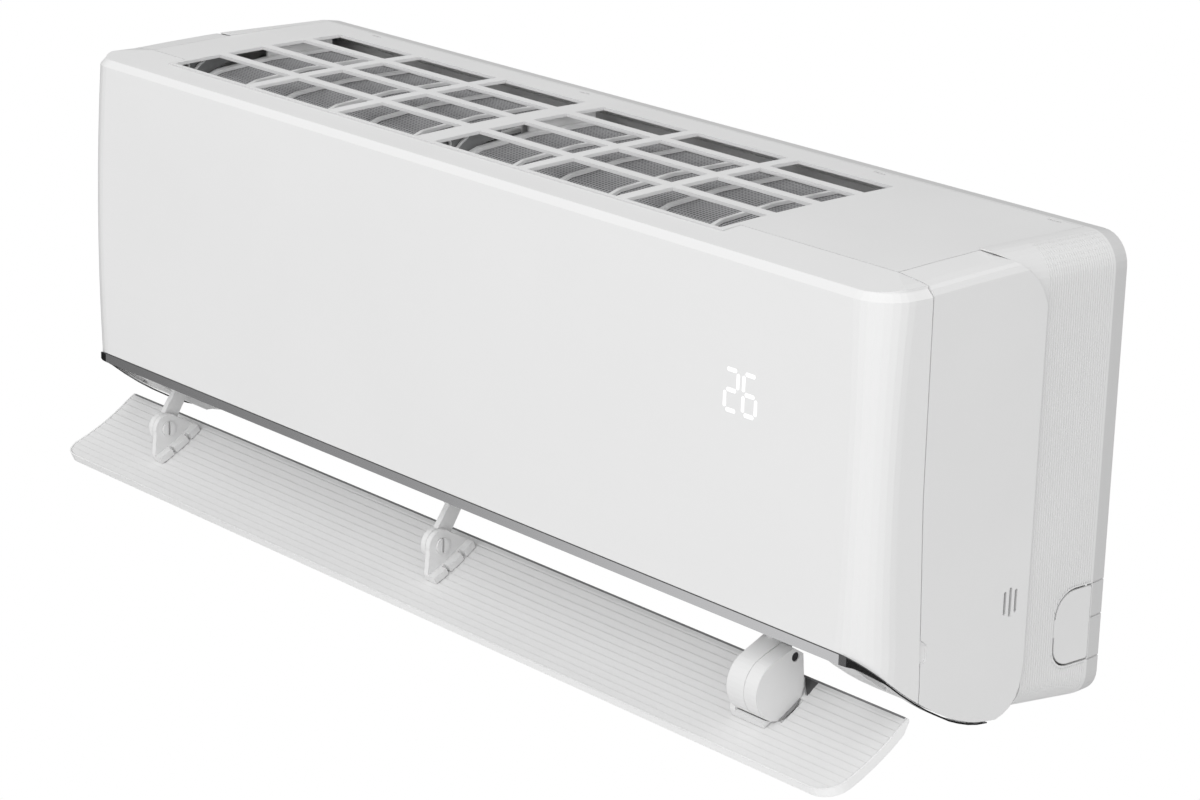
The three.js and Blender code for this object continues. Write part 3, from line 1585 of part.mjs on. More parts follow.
// Out of the heat exchanger's right end, down behind the scroll and along the back of the case.
function pipeRun(share, x, height) {
  const [depth, top] = onRearCoil(share);
  return [
    [sheetEnd, depth, top],
    [x, depth, top],
    [x, pipeDrop, top],
    [x, pipeDrop, height + 26],
    [x, pipeDepth, height],
    [pipeEnd, pipeDepth, height],
  ];
}

part("gas_pipe", pipe(pipeRun(1 / 3, gasX, gasHeight), gasRadius, pipeBend), copper);
part("liquid_pipe", pipe(pipeRun(2 / 3, liquidX, liquidHeight), liquidRadius, pipeBend), copper);

function flareNut(radius, height) {
  const bore = rod(radius + seat / 2, pipeEnd - nutLength, pipeEnd + nutLength, pipeDepth, height, 20);
  return rod(nutRadius * 0.82, pipeEnd - nutLength, pipeEnd + 2, pipeDepth, height, 6).subtract(bore);
}

part("gas_flare_nut", flareNut(gasRadius, gasHeight), brass);
part("liquid_flare_nut", flareNut(liquidRadius, liquidHeight), brass);

// ---- Air filters --------------------------------------------------------------------------------

function offsetLine(points, distance) {
  return ribbon(points, distance).slice(points.length).reverse();
}

function crossRib(i) {
  const before = filterLine[i - 1];
  const point = filterLine[i];
  const after = filterLine[i + 1];
  const toward = (other) => {
    const reach = filterRib / 2 / Math.hypot(other[0] - point[0], other[1] - point[1]);
    return [point[0] + (other[0] - point[0]) * reach, point[1] + (other[1] - point[1]) * reach];
  };
  return ribbon([toward(before), point, toward(after)], -filterThickness);
}

function trimmedLine(reach) {
  const line = filterLine.map((point) => [...point]);
  const last = line.length - 1;
  line[0][0] -= reach;
  line[last][1] += reach;
  return line;
}

function filterFrame(x0, x1) {
  const section = ribbon(filterLine, -filterThickness);
  const count = Math.round((x1 - x0) / filterRibStep);
  const ribs = Array.from({ length: count - 1 }, (_, i) => {
    const x = x0 + ((i + 1) * (x1 - x0)) / count;
    return prism(section, x - filterRib / 2, x + filterRib / 2);
  });
  const sides = [prism(section, x0, x0 + filterBorder), prism(section, x1 - filterBorder, x1)];
  const crossings = [3, 5, 7].map((i) => prism(crossRib(i), x0, x1));
  const [start, next] = filterLine;
  const rear = prism(ribbon([start, [start[0] - filterBorder, start[1]]], filterThickness * -1), x0, x1);
  const foot = filterLine[filterLine.length - 1];
  const front = prism(ribbon([[foot[0], foot[1] + filterBorder], foot], -filterThickness), x0, x1);
  return unite([...sides, ...ribs, ...crossings, rear, front]);
}

function filterMesh(x0, x1) {
  const line = offsetLine(trimmedLine(1), seat);
  return prism(ribbon(line, meshThickness), x0 + 1, x1 - 1);
}

for (const [side, [x0, x1]] of Object.entries(filterXs)) {
  part(`filter_frame_${side}`, filterFrame(x0, x1), filterWhite);
  part(`filter_mesh_${side}`, filterMesh(x0, x1), filterGrey);
}

// ---- Steering vanes -----------------------------------------------------------------------------

function vaneShape() {
  const plate = block(-vaneThickness / 2, vaneThickness / 2, -vaneBack, vaneFront, 2.5, vaneHeight);
  const collar = upright(vanePinRadius + 1.5, 0, 0, 1, 5);
  const pin = upright(vanePinRadius, 0, 0, -2.4, 3);
  const peg = upright(pegRadius, 0, pegOffset, vaneHeight - 1, vaneHeight + 1 + linkThickness + 1);
  return unite([plate, collar, pin, peg]);
}

function linkShape(xs) {
  const [first, last] = [xs[0], xs[xs.length - 1]];
  const bar = block(
    first - 12, last + 12, pegOffset - linkWidth / 2, pegOffset + linkWidth / 2,
    vaneHeight + 0.6, vaneHeight + 0.6 + linkThickness,
  );
  const slots = xs.map((x) => block(
    x - pegRadius - slotPlay, x + pegRadius + slotPlay, pegOffset - 4, pegOffset + pegRadius + slotPlay,
    vaneHeight, vaneHeight + 6,
  ));
  return seatVane(bar.subtract(unite(slots)), 0);
}

for (const [side, xs] of Object.entries(vaneXs)) {
  xs.forEach((x, i) => part(`vane_${side}_${i + 1}`, seatVane(vaneShape(), x), ductPlastic));
  part(`vane_link_${side}`, linkShape(xs), ductPlastic);
}

// ---- Mounting plate -----------------------------------------------------------------------------

function plateShape() {
  const sheet = box(
    -plateWidth / 2, plateWidth / 2, bodyDepth - plateThickness, bodyDepth,
    plateMiddle - plateHeight / 2, plateMiddle + plateHeight / 2,
  );
  const hookInner = bodyDepth - plateHookReach + plateThickness;
  const hooks = plateHookXs.map((x) => prism(
    [
      [bodyDepth - 1, plateHookHeight],
      [bodyDepth - plateHookReach, plateHookHeight],
      [bodyDepth - plateHookReach, plateHookHeight + plateHookRise],
      [hookInner, plateHookHeight + plateHookRise],
      [hookInner, plateHookHeight + plateThickness],
      [bodyDepth - 1, plateHookHeight + plateThickness],
    ],
    x - plateHookWidth / 2, x + plateHookWidth / 2,
  ));
  const screwRise = plateHeight / 2 - plateScrewMargin;
  const screws = plateScrewXs.flatMap((x) => [-1, 1].map((side) => rodAlongY(
    plateScrewRadius, x, bodyDepth - plateThickness - 1, bodyDepth + 1, plateMiddle + side * screwRise, 20,
  )));
  const windows = [-plateWindowX, plateWindowX].map((x) => box(
    x - plateWindow, x + plateWindow, bodyDepth - plateThickness - 1, bodyDepth + 1,
    plateMiddle - plateWindow / 2, plateMiddle + plateWindow / 2,
  ));
  return unite([sheet, ...hooks]).subtract(unite(screws)).subtract(unite(windows));
}

part("mounting_plate", plateShape(), zincSteel);

export default group;
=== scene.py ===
"""Wall-mounted air conditioner indoor unit: camera, soft studio light, materials and fine detail."""

import json
import math

import bmesh
import bpy
from mathutils import Matrix, Vector


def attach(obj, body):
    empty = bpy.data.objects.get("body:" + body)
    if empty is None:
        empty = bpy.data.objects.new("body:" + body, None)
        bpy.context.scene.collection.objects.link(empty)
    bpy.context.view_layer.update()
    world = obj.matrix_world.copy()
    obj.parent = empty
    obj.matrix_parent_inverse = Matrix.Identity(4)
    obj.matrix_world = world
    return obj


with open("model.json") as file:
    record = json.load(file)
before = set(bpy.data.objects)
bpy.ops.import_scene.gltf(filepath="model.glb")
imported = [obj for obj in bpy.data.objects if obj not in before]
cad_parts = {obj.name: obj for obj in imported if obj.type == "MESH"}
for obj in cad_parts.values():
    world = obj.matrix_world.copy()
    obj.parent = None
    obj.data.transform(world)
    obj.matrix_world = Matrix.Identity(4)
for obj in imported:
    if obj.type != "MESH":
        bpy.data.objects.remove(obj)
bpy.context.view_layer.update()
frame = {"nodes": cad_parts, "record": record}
nodes = frame["nodes"]

MM = 0.001
DEPTH = 225.0  # cabinet depth, front face to wall
HEIGHT = 311.0  # cabinet height
HALF = 435.0  # half of the cabinet's width


def at(x, depth, height):
    """A point given as X, depth behind the front face and height above the lowest point, in mm."""
    return Vector((x * MM, (depth - DEPTH) * MM, (height - HEIGHT / 2) * MM))


# ---- Camera ----------------------------------------------------------------------------------------

PHOTO_WIDTH = 1200.0
FOCAL_PIXELS = 3645.1
SENSOR = 36.0
CLIP = (0.05, 60.0)
CAMERA_AT = (1.9135, -1.7540, 0.7144)
YAW = math.radians(-48.615)
PITCH = math.radians(16.736)
ROLL = math.radians(1.881)


def make_camera():
    forward = Vector((
        math.sin(YAW) * math.cos(PITCH), math.cos(YAW) * math.cos(PITCH), -math.sin(PITCH)
    ))
    level = Vector((math.cos(YAW), -math.sin(YAW), 0.0))
    above = level.cross(forward)
    right = level * math.cos(ROLL) + above * math.sin(ROLL)
    up = above * math.cos(ROLL) - level * math.sin(ROLL)
    data = bpy.data.cameras.new("camera")
    data.sensor_width = SENSOR
    data.lens = FOCAL_PIXELS / PHOTO_WIDTH * data.sensor_width
    data.clip_start, data.clip_end = CLIP
    camera = bpy.data.objects.new("camera", data)
    rows = Matrix((right, up, -forward)).transposed().to_4x4()
    camera.matrix_world = Matrix.Translation(CAMERA_AT) @ rows
    bpy.context.scene.collection.objects.link(camera)
    bpy.context.scene.camera = camera


make_camera()

# ---- World, lights and floor -----------------------------------------------------------------------

SKY_LEVEL = 0.63
SKY_SLOPE = (0.27, -0.34, 0.29)
SKY_LEAST = 0.30
# What polished metal sees low in the room: a bright patch in one direction, fading to dark around it.
PATCH_TOWARDS = (-0.658, -0.667, -0.349)
PATCH_EDGE = 0.8
PATCH_FADE = (
    (0.0, 0.02), (0.65, 0.02), (0.825, 0.14), (0.8825, 0.22), (0.9725, 0.50), (1.0, 0.98)
)
PATCH_BELOW = (-0.02, -0.20)
WHITE = (1, 1, 1, 1)
FLOOR_SIDE = 3.0
FLOOR_LOW = -2.6
FLOOR_COLOR = (0.8, 0.8, 0.8, 1)
KEY_PLACE = (1.2, -3.4, 2.2)
KEY_TARGET = (0, -0.1, 0)
KEY_SIZE = 2.4
KEY_WATTS = 20


class Tree:
    """Short calls for building a node tree."""

    def __init__(self, tree, clear=True):
        self.tree = tree
        if clear:
            tree.nodes.clear()

    def add(self, kind, **settings):
        node = self.tree.nodes.new(kind)
        for key, value in settings.items():
            setattr(node, key, value)
        return node

    def first(self, kind):
        return next(node for node in self.tree.nodes if node.type == kind)

    def link(self, source, target):
        self.tree.links.new(source, target)

    def axes(self, place):
        node = self.add("ShaderNodeSeparateXYZ")
        self.link(place, node.inputs[0])
        return node.outputs

    def math(self, operation, a, b=None, c=None):
        node = self.add("ShaderNodeMath", operation=operation)
        for socket, value in zip(node.inputs, (a, b, c)):
            if value is None:
                continue
            if isinstance(value, (int, float)):
                socket.default_value = value
            else:
                self.link(value, socket)
        return node.outputs[0]

    def spread(self, value, low, high, new_low, new_high):
        node = self.add("ShaderNodeMapRange")
        self.link(value, node.inputs["Value"])
        for name, number in (
            ("From Min", low), ("From Max", high), ("To Min", new_low), ("To Max", new_high)
        ):
            node.inputs[name].default_value = number
        return node.outputs["Result"]

    def finish(self, kind, shader):
        out = self.add(kind)
        self.link(shader.outputs[0], out.inputs[0])

    def seen_or_not(self, seen, unseen_shader, seen_shader):
        """One shader for what the camera sees directly and another for all else."""
        mix = self.add("ShaderNodeMixShader")
        self.link(seen.outputs["Is Camera Ray"], mix.inputs[0])
        self.link(unseen_shader.outputs[0], mix.inputs[1])
        self.link(seen_shader.outputs[0], mix.inputs[2])
        return mix


def make_world():
    world = bpy.data.worlds.new("studio")
    world.use_nodes = True
    bpy.context.scene.world = world
    t = Tree(world.node_tree)
    place = t.add("ShaderNodeTexCoord")
    axes = t.axes(place.outputs["Generated"])
    total = SKY_LEVEL
    for axis, slope in zip("XYZ", SKY_SLOPE):
        total = t.math("MULTIPLY_ADD", axes[axis], slope, total)
    glow = t.math("MAXIMUM", total, SKY_LEAST)
    seen = t.add("ShaderNodeLightPath")
    facing = t.add("ShaderNodeVectorMath", operation="DOT_PRODUCT")
    t.link(place.outputs["Generated"], facing.inputs[0])
    facing.inputs[1].default_value = PATCH_TOWARDS
    patch = t.add("ShaderNodeValToRGB")
    t.link(t.spread(facing.outputs["Value"], PATCH_EDGE, 1.0, 0.0, 1.0), patch.inputs[0])
    ramp = patch.color_ramp
    while len(ramp.elements) < len(PATCH_FADE):
        ramp.elements.new(0.5)
    for element, (position, level) in zip(ramp.elements, PATCH_FADE):
        element.position = position
        element.color = (level, level, level, 1)
    below = t.spread(axes["Z"], *PATCH_BELOW, 0.0, 1.0)
    low = t.math("MULTIPLY", below, seen.outputs["Is Glossy Ray"])
    level = t.add("ShaderNodeMixRGB", blend_type="MIX")
    t.link(low, level.inputs["Fac"])
    t.link(glow, level.inputs["Color1"])
    t.link(patch.outputs[0], level.inputs["Color2"])
    soft = t.add("ShaderNodeBackground")
    soft.inputs["Color"].default_value = WHITE
    t.link(level.outputs[0], soft.inputs["Strength"])
    white = t.add("ShaderNodeBackground")
    white.inputs["Color"].default_value = WHITE
    white.inputs["Strength"].default_value = 1.0
    t.finish("ShaderNodeOutputWorld", t.seen_or_not(seen, soft, white))


def make_lamp(name, place, target, size, watts):
    data = bpy.data.lights.new(name, "AREA")
    data.shape = "DISK"
    data.size = size
    data.energy = watts
    lamp = bpy.data.objects.new(name, data)
    lamp.location = place
    aim = Vector(target) - Vector(place)
    lamp.rotation_euler = aim.to_track_quat("-Z", "Y").to_euler()
    bpy.context.scene.collection.objects.link(lamp)


def make_floor():
    mesh = bpy.data.meshes.new("floor")
    corners = [
        (x * FLOOR_SIDE, y * FLOOR_SIDE, FLOOR_LOW) for x, y in ((-1, -1), (1, -1), (1, 1), (-1, 1))
    ]
    mesh.from_pydata(corners, [], [(0, 1, 2, 3)])
    floor = bpy.data.objects.new("floor", mesh)
    bpy.context.scene.collection.objects.link(floor)
    look = bpy.data.materials.new("floor_paper")
    look.use_nodes = True
    t = Tree(look.node_tree)
    paper = t.add("ShaderNodeBsdfDiffuse")
    paper.inputs["Color"].default_value = FLOOR_COLOR
    glow = t.add("ShaderNodeEmission")
    glow.inputs["Strength"].default_value = 1.0
    seen = t.add("ShaderNodeLightPath")
    t.finish("ShaderNodeOutputMaterial", t.seen_or_not(seen, paper, glow))
    mesh.materials.append(look)


make_world()
make_floor()
make_lamp("key", KEY_PLACE, KEY_TARGET, KEY_SIZE, KEY_WATTS)

# ---- Materials -------------------------------------------------------------------------------------

MOTTLE_SCALE = 9.0
MOTTLE_DETAIL = 3.0
MOTTLE_SPAN = (0.3, 0.7)
GLOSS_CHANGE = (0.92, 1.08)
GRAIN_DETAIL = 2.0
GRAIN_STRENGTH = 0.35
EDGE_SAMPLES = 4


def surface(name, color, rough, metal=0.0, grain=900.0, relief=0.02, mottle=0.02, edge=0.0):
    """A moulded or metal surface: faint uneven colour, uneven gloss and a fine grain in its relief."""
    look = bpy.data.materials.new(name)
    look.use_nodes = True
    t = Tree(look.node_tree)
    shader = t.add("ShaderNodeBsdfPrincipled")
    place = t.add("ShaderNodeTexCoord").outputs["Object"]
    broad = t.add("ShaderNodeTexNoise")
    broad.inputs["Scale"].default_value = MOTTLE_SCALE
    broad.inputs["Detail"].default_value = MOTTLE_DETAIL
    t.link(place, broad.inputs["Vector"])
    tone = t.add("ShaderNodeMixRGB", blend_type="MULTIPLY")
    tone.inputs["Color1"].default_value = (*color, 1)
    shade = t.spread(broad.outputs[0], *MOTTLE_SPAN, 1.0 - mottle, 1.0)
    t.link(shade, tone.inputs["Color2"])
    tone.inputs["Fac"].default_value = 1.0
    t.link(tone.outputs[0], shader.inputs["Base Color"])
    fine = t.add("ShaderNodeTexNoise")
    fine.inputs["Scale"].default_value = grain
    fine.inputs["Detail"].default_value = GRAIN_DETAIL
    t.link(place, fine.inputs["Vector"])
    gloss = t.spread(broad.outputs[0], *MOTTLE_SPAN, *(rough * change for change in GLOSS_CHANGE))
    t.link(gloss, shader.inputs["Roughness"])
    bump = t.add("ShaderNodeBump")
    bump.inputs["Strength"].default_value = GRAIN_STRENGTH
    bump.inputs["Distance"].default_value = relief * MM
    t.link(fine.outputs[0], bump.inputs["Height"])
    if edge > 0:
        soften = t.add("ShaderNodeBevel", samples=EDGE_SAMPLES)
        soften.inputs["Radius"].default_value = edge * MM
        t.link(soften.outputs[0], bump.inputs["Normal"])
    t.link(bump.outputs[0], shader.inputs["Normal"])
    shader.inputs["Metallic"].default_value = metal
    t.finish("ShaderNodeOutputMaterial", shader)
    return look


FIN_PITCH = 1.6
FIN_SHARE = 0.72
# Painted shade: the near-black colour of the gaps between the fins.
FIN_GAP_PAINTED_SHADE = (0.03, 0.03, 0.032, 1)


def fins():
    """Aluminium plate fins, seen edge on, with painted shade in the dark gaps between them."""
    look = surface("aluminium_fins", (0.5, 0.51, 0.52), 0.4, 0.9, 600, 0.02, 0.1)
    t = Tree(look.node_tree, clear=False)
    shader, tone, place = t.first("BSDF_PRINCIPLED"), t.first("MIX_RGB"), t.first("TEX_COORD")
    axes = t.axes(place.outputs["Object"])
    wave = t.math("FRACT", t.math("MULTIPLY", axes["X"], 1 / (FIN_PITCH * MM)))
    # Painted shade in the gaps between the fins.
    dark = t.add("ShaderNodeMixRGB", blend_type="MIX")
    dark.inputs["Color1"].default_value = FIN_GAP_PAINTED_SHADE
    t.link(t.math("LESS_THAN", wave, FIN_SHARE), dark.inputs["Fac"])
    t.link(tone.outputs[0], dark.inputs["Color2"])
    t.link(dark.outputs[0], shader.inputs["Base Color"])
    return look


NET_PITCH_ACROSS = 3.2
NET_PITCH_ALONG = 3.0
NET_THREAD = (0.2, 0.9)
NET_ROUGH = (0.9, 0.6)
NET_CLOUD_SCALE = 70.0
NET_CLOUD_SHARE = 0.5
NET_RELIEF = 0.3
NET_COLORS = ((0.1, (0.10, 0.10, 0.105, 1)), (1.3, (0.42, 0.42, 0.43, 1)))


def netting():
    """Fine grey filter net."""
    look = bpy.data.materials.new("filter_grey")
    look.use_nodes = True
    t = Tree(look.node_tree)
    shader = t.add("ShaderNodeBsdfPrincipled")
    place = t.add("ShaderNodeTexCoord").outputs["Object"]
    axes = t.axes(place)
    cells = []
    for value, pitch in (
        (axes["X"], NET_PITCH_ACROSS), (t.math("ADD", axes["Y"], axes["Z"]), NET_PITCH_ALONG)
    ):
        wave = t.math("SINE", t.math("MULTIPLY", value, math.tau / (pitch * MM)))
        cells.append(t.spread(wave, *NET_THREAD, 0.0, 1.0))
    thread = t.math("MAXIMUM", *cells)
    cloud = t.add("ShaderNodeTexNoise")
    cloud.inputs["Scale"].default_value = NET_CLOUD_SCALE
    t.link(place, cloud.inputs["Vector"])
    ramp = t.add("ShaderNodeValToRGB")
    for element, (position, color) in zip(ramp.color_ramp.elements, NET_COLORS):
        element.position = position
        element.color = color
    t.link(t.math("MULTIPLY_ADD", cloud.outputs[0], NET_CLOUD_SHARE, thread), ramp.inputs[0])
    t.link(ramp.outputs[0], shader.inputs["Base Color"])
    t.link(t.spread(thread, 0, 1, *NET_ROUGH), shader.inputs["Roughness"])
    bump = t.add("ShaderNodeBump")
    bump.inputs["Distance"].default_value = NET_RELIEF * MM
    t.link(thread, bump.inputs["Height"])
    t.link(bump.outputs[0], shader.inputs["Normal"])
    t.finish("ShaderNodeOutputMaterial", shader)
    return look


RIM_DEPTH = 13.0  # the plain rear rim of the case, against the wall
# Painted shade: the share of its colour that the rear rim keeps.
RIM_PAINTED_SHADE = 0.84
RIM_BLUR = 0.3


def paint_shade_on_rim(look):
    """Painted shade: the rear rim is painted a shade darker than the ribbed sides, for the weaker light on
    its backward-facing bevel.
    """
    t = Tree(look.node_tree, clear=False)
    shader, tone, place = t.first("BSDF_PRINCIPLED"), t.first("MIX_RGB"), t.first("TEX_COORD")
    axes = t.axes(place.outputs["Object"])
    # Mask of the rear rim, where the painted shade goes.
    rim_shade_mask = t.spread(
        axes["Y"], (-RIM_DEPTH - RIM_BLUR) * MM, (-RIM_DEPTH + RIM_BLUR) * MM, 1.0, RIM_PAINTED_SHADE
    )
    rim = t.add("ShaderNodeMixRGB", blend_type="MULTIPLY")
    rim.inputs["Fac"].default_value = 1.0
    t.link(tone.outputs[0], rim.inputs["Color1"])
    t.link(rim_shade_mask, rim.inputs["Color2"])
    t.link(rim.outputs[0], shader.inputs["Base Color"])


# For each slot: colour, roughness, metal, grain, relief, mottle and softened edge.
LOOKS = {
    "gloss_white": ((0.86, 0.86, 0.86), 0.38, 0.0, 1400, 0.01, 0.01, 0.5),
    "case_white": ((0.83, 0.83, 0.83), 0.5, 0.0, 2600, 0.03, 0.015, 0.5),
    "duct_white": ((0.8, 0.8, 0.8), 0.55, 0.0, 2200, 0.03, 0.02, 0.4),
    "ribbed_white": ((0.81, 0.81, 0.81), 0.55, 0.0, 2400, 0.03, 0.02, 0.6),
    "chrome_strip": ((0.62, 0.62, 0.63), 0.14, 1.0, 500, 0.004, 0.04),
    "filter_white": ((0.84, 0.84, 0.84), 0.45, 0.0, 1800, 0.02, 0.02, 0.4),
    "fan_grey": ((0.05, 0.05, 0.055), 0.55, 0.0, 1500, 0.03, 0.2),
    "copper": ((0.6, 0.3, 0.17), 0.3, 1.0, 400, 0.02, 0.35),
    "brass": ((0.62, 0.47, 0.2), 0.28, 1.0, 700, 0.02, 0.15),
    "steel": ((0.5, 0.51, 0.52), 0.3, 1.0, 900, 0.02, 0.12),
    "zinc_steel": ((0.46, 0.48, 0.5), 0.42, 1.0, 160, 0.03, 0.25),
    "board": ((0.03, 0.15, 0.07), 0.4, 0.0, 700, 0.05, 0.3),
    "dark_plastic": ((0.03, 0.03, 0.032), 0.5, 0.0, 1600, 0.04, 0.2),
    "rubber": ((0.015, 0.015, 0.015), 0.8, 0.0, 1200, 0.06, 0.3),
}
by_slot = {name: surface(name, *look) for name, look in LOOKS.items()}
by_slot["filter_grey"] = netting()
by_slot["aluminium"] = fins()
# Painted shade on the rear rim of the ribbed sides.
paint_shade_on_rim(by_slot["ribbed_white"])

SMOOTH_BELOW = math.radians(28)
for row in frame["record"]["subparts"]:
    node = nodes[row["node"]]
    node.data.materials.clear()
    node.data.materials.append(by_slot[row["material_slot"]])
    node.data.shade_smooth()
    node.data.set_sharp_from_angle(angle=SMOOTH_BELOW)
    even = node.modifiers.new("even_shading", "WEIGHTED_NORMAL")
    even.mode = "FACE_AREA"
    even.keep_sharp = True
nodes["deflector_skin"].data.materials[0] = surface(
    "deflector_gloss", (0.97, 0.97, 0.97), 0.3, 0.0, 1400, 0.01, 0.01, 0.5
)
nodes["tilt_housing_screw"].data.materials[0] = by_slot["dark_plastic"]

# ---- Pieces of fine detail -------------------------------------------------------------------------


class Bundle:
    """Collects many closed strips into one mesh."""

    def __init__(self):
        self.points = []
        self.faces = []

    def strip(self, rings):
        """Skins a closed tube over rings of equal numbers of points and caps its ends."""
        start, size = len(self.points), len(rings[0])
        for ring in rings:
            self.points.extend(ring)
        for row in range(len(rings) - 1):
            for i in range(size):
                a, b = start + row * size + i, start + row * size + (i + 1) % size
                self.faces.append((a, b, b + size, a + size))
        self.faces.append(tuple(range(start + size - 1, start - 1, -1)))
        last = start + (len(rings) - 1) * size
        self.faces.append(tuple(range(last, last + size)))


def piece(name, bundle, look, body, smooth=False):
    mesh = bpy.data.meshes.new(name)
    mesh.from_pydata([tuple(point) for point in bundle.points], [], bundle.faces)
    shape = bmesh.new()
    shape.from_mesh(mesh)
    bmesh.ops.recalc_face_normals(shape, faces=shape.faces)
    shape.to_mesh(mesh)
    shape.free()
    obj = bpy.data.objects.new(name, mesh)
    bpy.context.scene.collection.objects.link(obj)
    mesh.materials.append(look)
    if smooth:
        mesh.shade_smooth()
        mesh.set_sharp_from_angle(angle=SMOOTH_BELOW)
    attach(obj, body)


def dull_grey(name, color, mottle=0.15):
    return surface(name, color, 0.7, 0.0, 1500, 0.02, mottle)


# Fine upright ribs on both sides of the rear case.
CAP_REAR = 147.0
REAR_SIDE = 433.0
TOP_CORNER = 23.0
BOTTOM_CORNER = 20.0
FLOOR_AT_CAP = -1.5
FLOOR_FALL = 7.5
BOTTOM_BEND = 70  # degrees of each bend that a rib follows
BOTTOM_BEND_STEPS = 6
TOP_BEND = 80
TOP_BEND_STEPS = 8
SIDE_STEPS = 12
FADE_STEPS = 4  # steps over which a rib rises from each of its ends
RIB_PITCH = 2.2
RIB_WIDTH = 1.5
RIB_RISE = 0.17
RIB_SUNK = 0.12
RIB_FRONT_GAP = 2.4
RIB_REAR_GAP = 2.0
KNOCKOUT = {"front": 176.4, "top": 75.6, "bottom": 22.0, "top_radius": 19.0, "bottom_radius": 15.0}
KNOCKOUT_MARGIN = 1.0
KNOCKOUT_FADE = 1.5
KNOCKOUT_CLEAR = 2.0


def floor_at(depth):
    return FLOOR_AT_CAP - FLOOR_FALL * (depth - CAP_REAR) / (DEPTH - CAP_REAR)


def bend_point(radius, centre, angle, rise):
    out_x, out_height = math.cos(angle), math.sin(angle)
    return REAR_SIDE - radius + radius * out_x, centre + radius * out_height, out_x, out_height, rise


def side_line(depth):
    """Points (x, height, outward x, outward height, rise) up the side from the lower to the upper bend."""
    low = floor_at(depth) + BOTTOM_CORNER
    high = HEIGHT - TOP_CORNER
    line = []
    for i in range(BOTTOM_BEND_STEPS + 1):
        angle = math.radians(-BOTTOM_BEND + BOTTOM_BEND * i / BOTTOM_BEND_STEPS)
        line.append(bend_point(BOTTOM_CORNER, low, angle, min(i / FADE_STEPS, 1)))
    for i in range(1, SIDE_STEPS):
        line.append((REAR_SIDE, low + (high - low) * i / SIDE_STEPS, 1.0, 0.0, 1.0))
    for i in range(TOP_BEND_STEPS + 1):
        angle = math.radians(TOP_BEND * i / TOP_BEND_STEPS)
        line.append(bend_point(TOP_CORNER, high, angle, min((TOP_BEND_STEPS - i) / FADE_STEPS, 1)))
    return line


def knockout_span(depth):
    """Lowest and highest point of the pipe cut-out at a depth, or None in front of it."""
    reach = depth - KNOCKOUT["front"] + KNOCKOUT_MARGIN
    if reach < 0:
        return None
    drops = []
    for radius in (KNOCKOUT["bottom_radius"], KNOCKOUT["top_radius"]):
        short = max(radius - reach, 0)
        drops.append(radius - math.sqrt(radius ** 2 - short ** 2))
    return KNOCKOUT["bottom"] + drops[0] - KNOCKOUT_MARGIN, KNOCKOUT["top"] - drops[1] + KNOCKOUT_MARGIN


def rib_runs(depth):
    """The rib's line, cut where the pipe cut-out is."""
    line = side_line(depth)
    span = knockout_span(depth)
    if span is None:
        return [line]
    low, high = span
    below = [point for point in line if point[1] < low - KNOCKOUT_CLEAR]
    above = [point for point in line if point[1] > high + KNOCKOUT_CLEAR]
    below += [(REAR_SIDE, low - KNOCKOUT_FADE, 1.0, 0.0, 1.0), (REAR_SIDE, low, 1.0, 0.0, 0.0)]
    above[:0] = [(REAR_SIDE, high, 1.0, 0.0, 0.0), (REAR_SIDE, high + KNOCKOUT_FADE, 1.0, 0.0, 1.0)]
    return [below, above]


# Shift along the depth as a share of the rib's width, and lift: a share of its rise, or mm where it is sunk.
RIB_PROFILE = (
    (-0.5, -RIB_SUNK), (-0.5, 0.0), (-0.2, 1.0), (0.2, 1.0), (0.5, 0.0), (0.5, -RIB_SUNK)
)


def side_ribs(name, mirror):
    bundle = Bundle()
    count = int((DEPTH - RIM_DEPTH - CAP_REAR - RIB_REAR_GAP) / RIB_PITCH)
    for i in range(count):
        depth = CAP_REAR + RIB_FRONT_GAP + i * RIB_PITCH
        for run in rib_runs(depth):
            rings = []
            for x, height, out_x, out_height, rise in run:
                ring = []
                for shift, lift in RIB_PROFILE:
                    out = lift * RIB_RISE * rise if lift > 0 else lift
                    ring.append(at(
                        mirror * (x + out * out_x), depth + shift * RIB_WIDTH, height + out * out_height
                    ))
                rings.append(ring)
            bundle.strip(rings)
    piece(name, bundle, by_slot["ribbed_white"], "case", smooth=True)


side_ribs("rear_case_ribs_right", 1)
side_ribs("rear_case_ribs_left", -1)

# Digits that shine through the panel, as seven bars each.
PANEL_BOTTOM = 67.0
PANEL_TOP = 296.0
PANEL_BOW = 1.5
DIGIT_LEFT = 298.2
DIGIT_LOW = 198.1
DIGIT_WIDTH = 14.3
DIGIT_HEIGHT = 29.4
DIGIT_STEP = 17.0
BAR_WIDTH = 2.6
BAR_GAP = 1.3
BAR_NOSE = 0.6  # length of a bar's pointed end, as a share of half its width
BAR_PROUD = 0.12
BAR_SUNK = 0.4
DIGIT_GLOW = 0.35
BARS = {
    "top": ((0, 2), (1, 2)), "upper_left": ((0, 1), (0, 2)), "upper_right": ((1, 1), (1, 2)),
    "middle": ((0, 1), (1, 1)), "lower_left": ((0, 0), (0, 1)), "lower_right": ((1, 0), (1, 1)),
    "bottom": ((0, 0), (1, 0)),
}
DIGITS = (
    ("top", "upper_right", "middle", "lower_left", "bottom"),
    ("top", "upper_left", "middle", "lower_left", "lower_right", "bottom"),
)


def panel_face(height):
    """Depth of the bowed panel's face at a height."""
    t = 1 - 2 * (height - PANEL_BOTTOM) / (PANEL_TOP - PANEL_BOTTOM)
    return PANEL_BOW * (t ** 2 - 1)


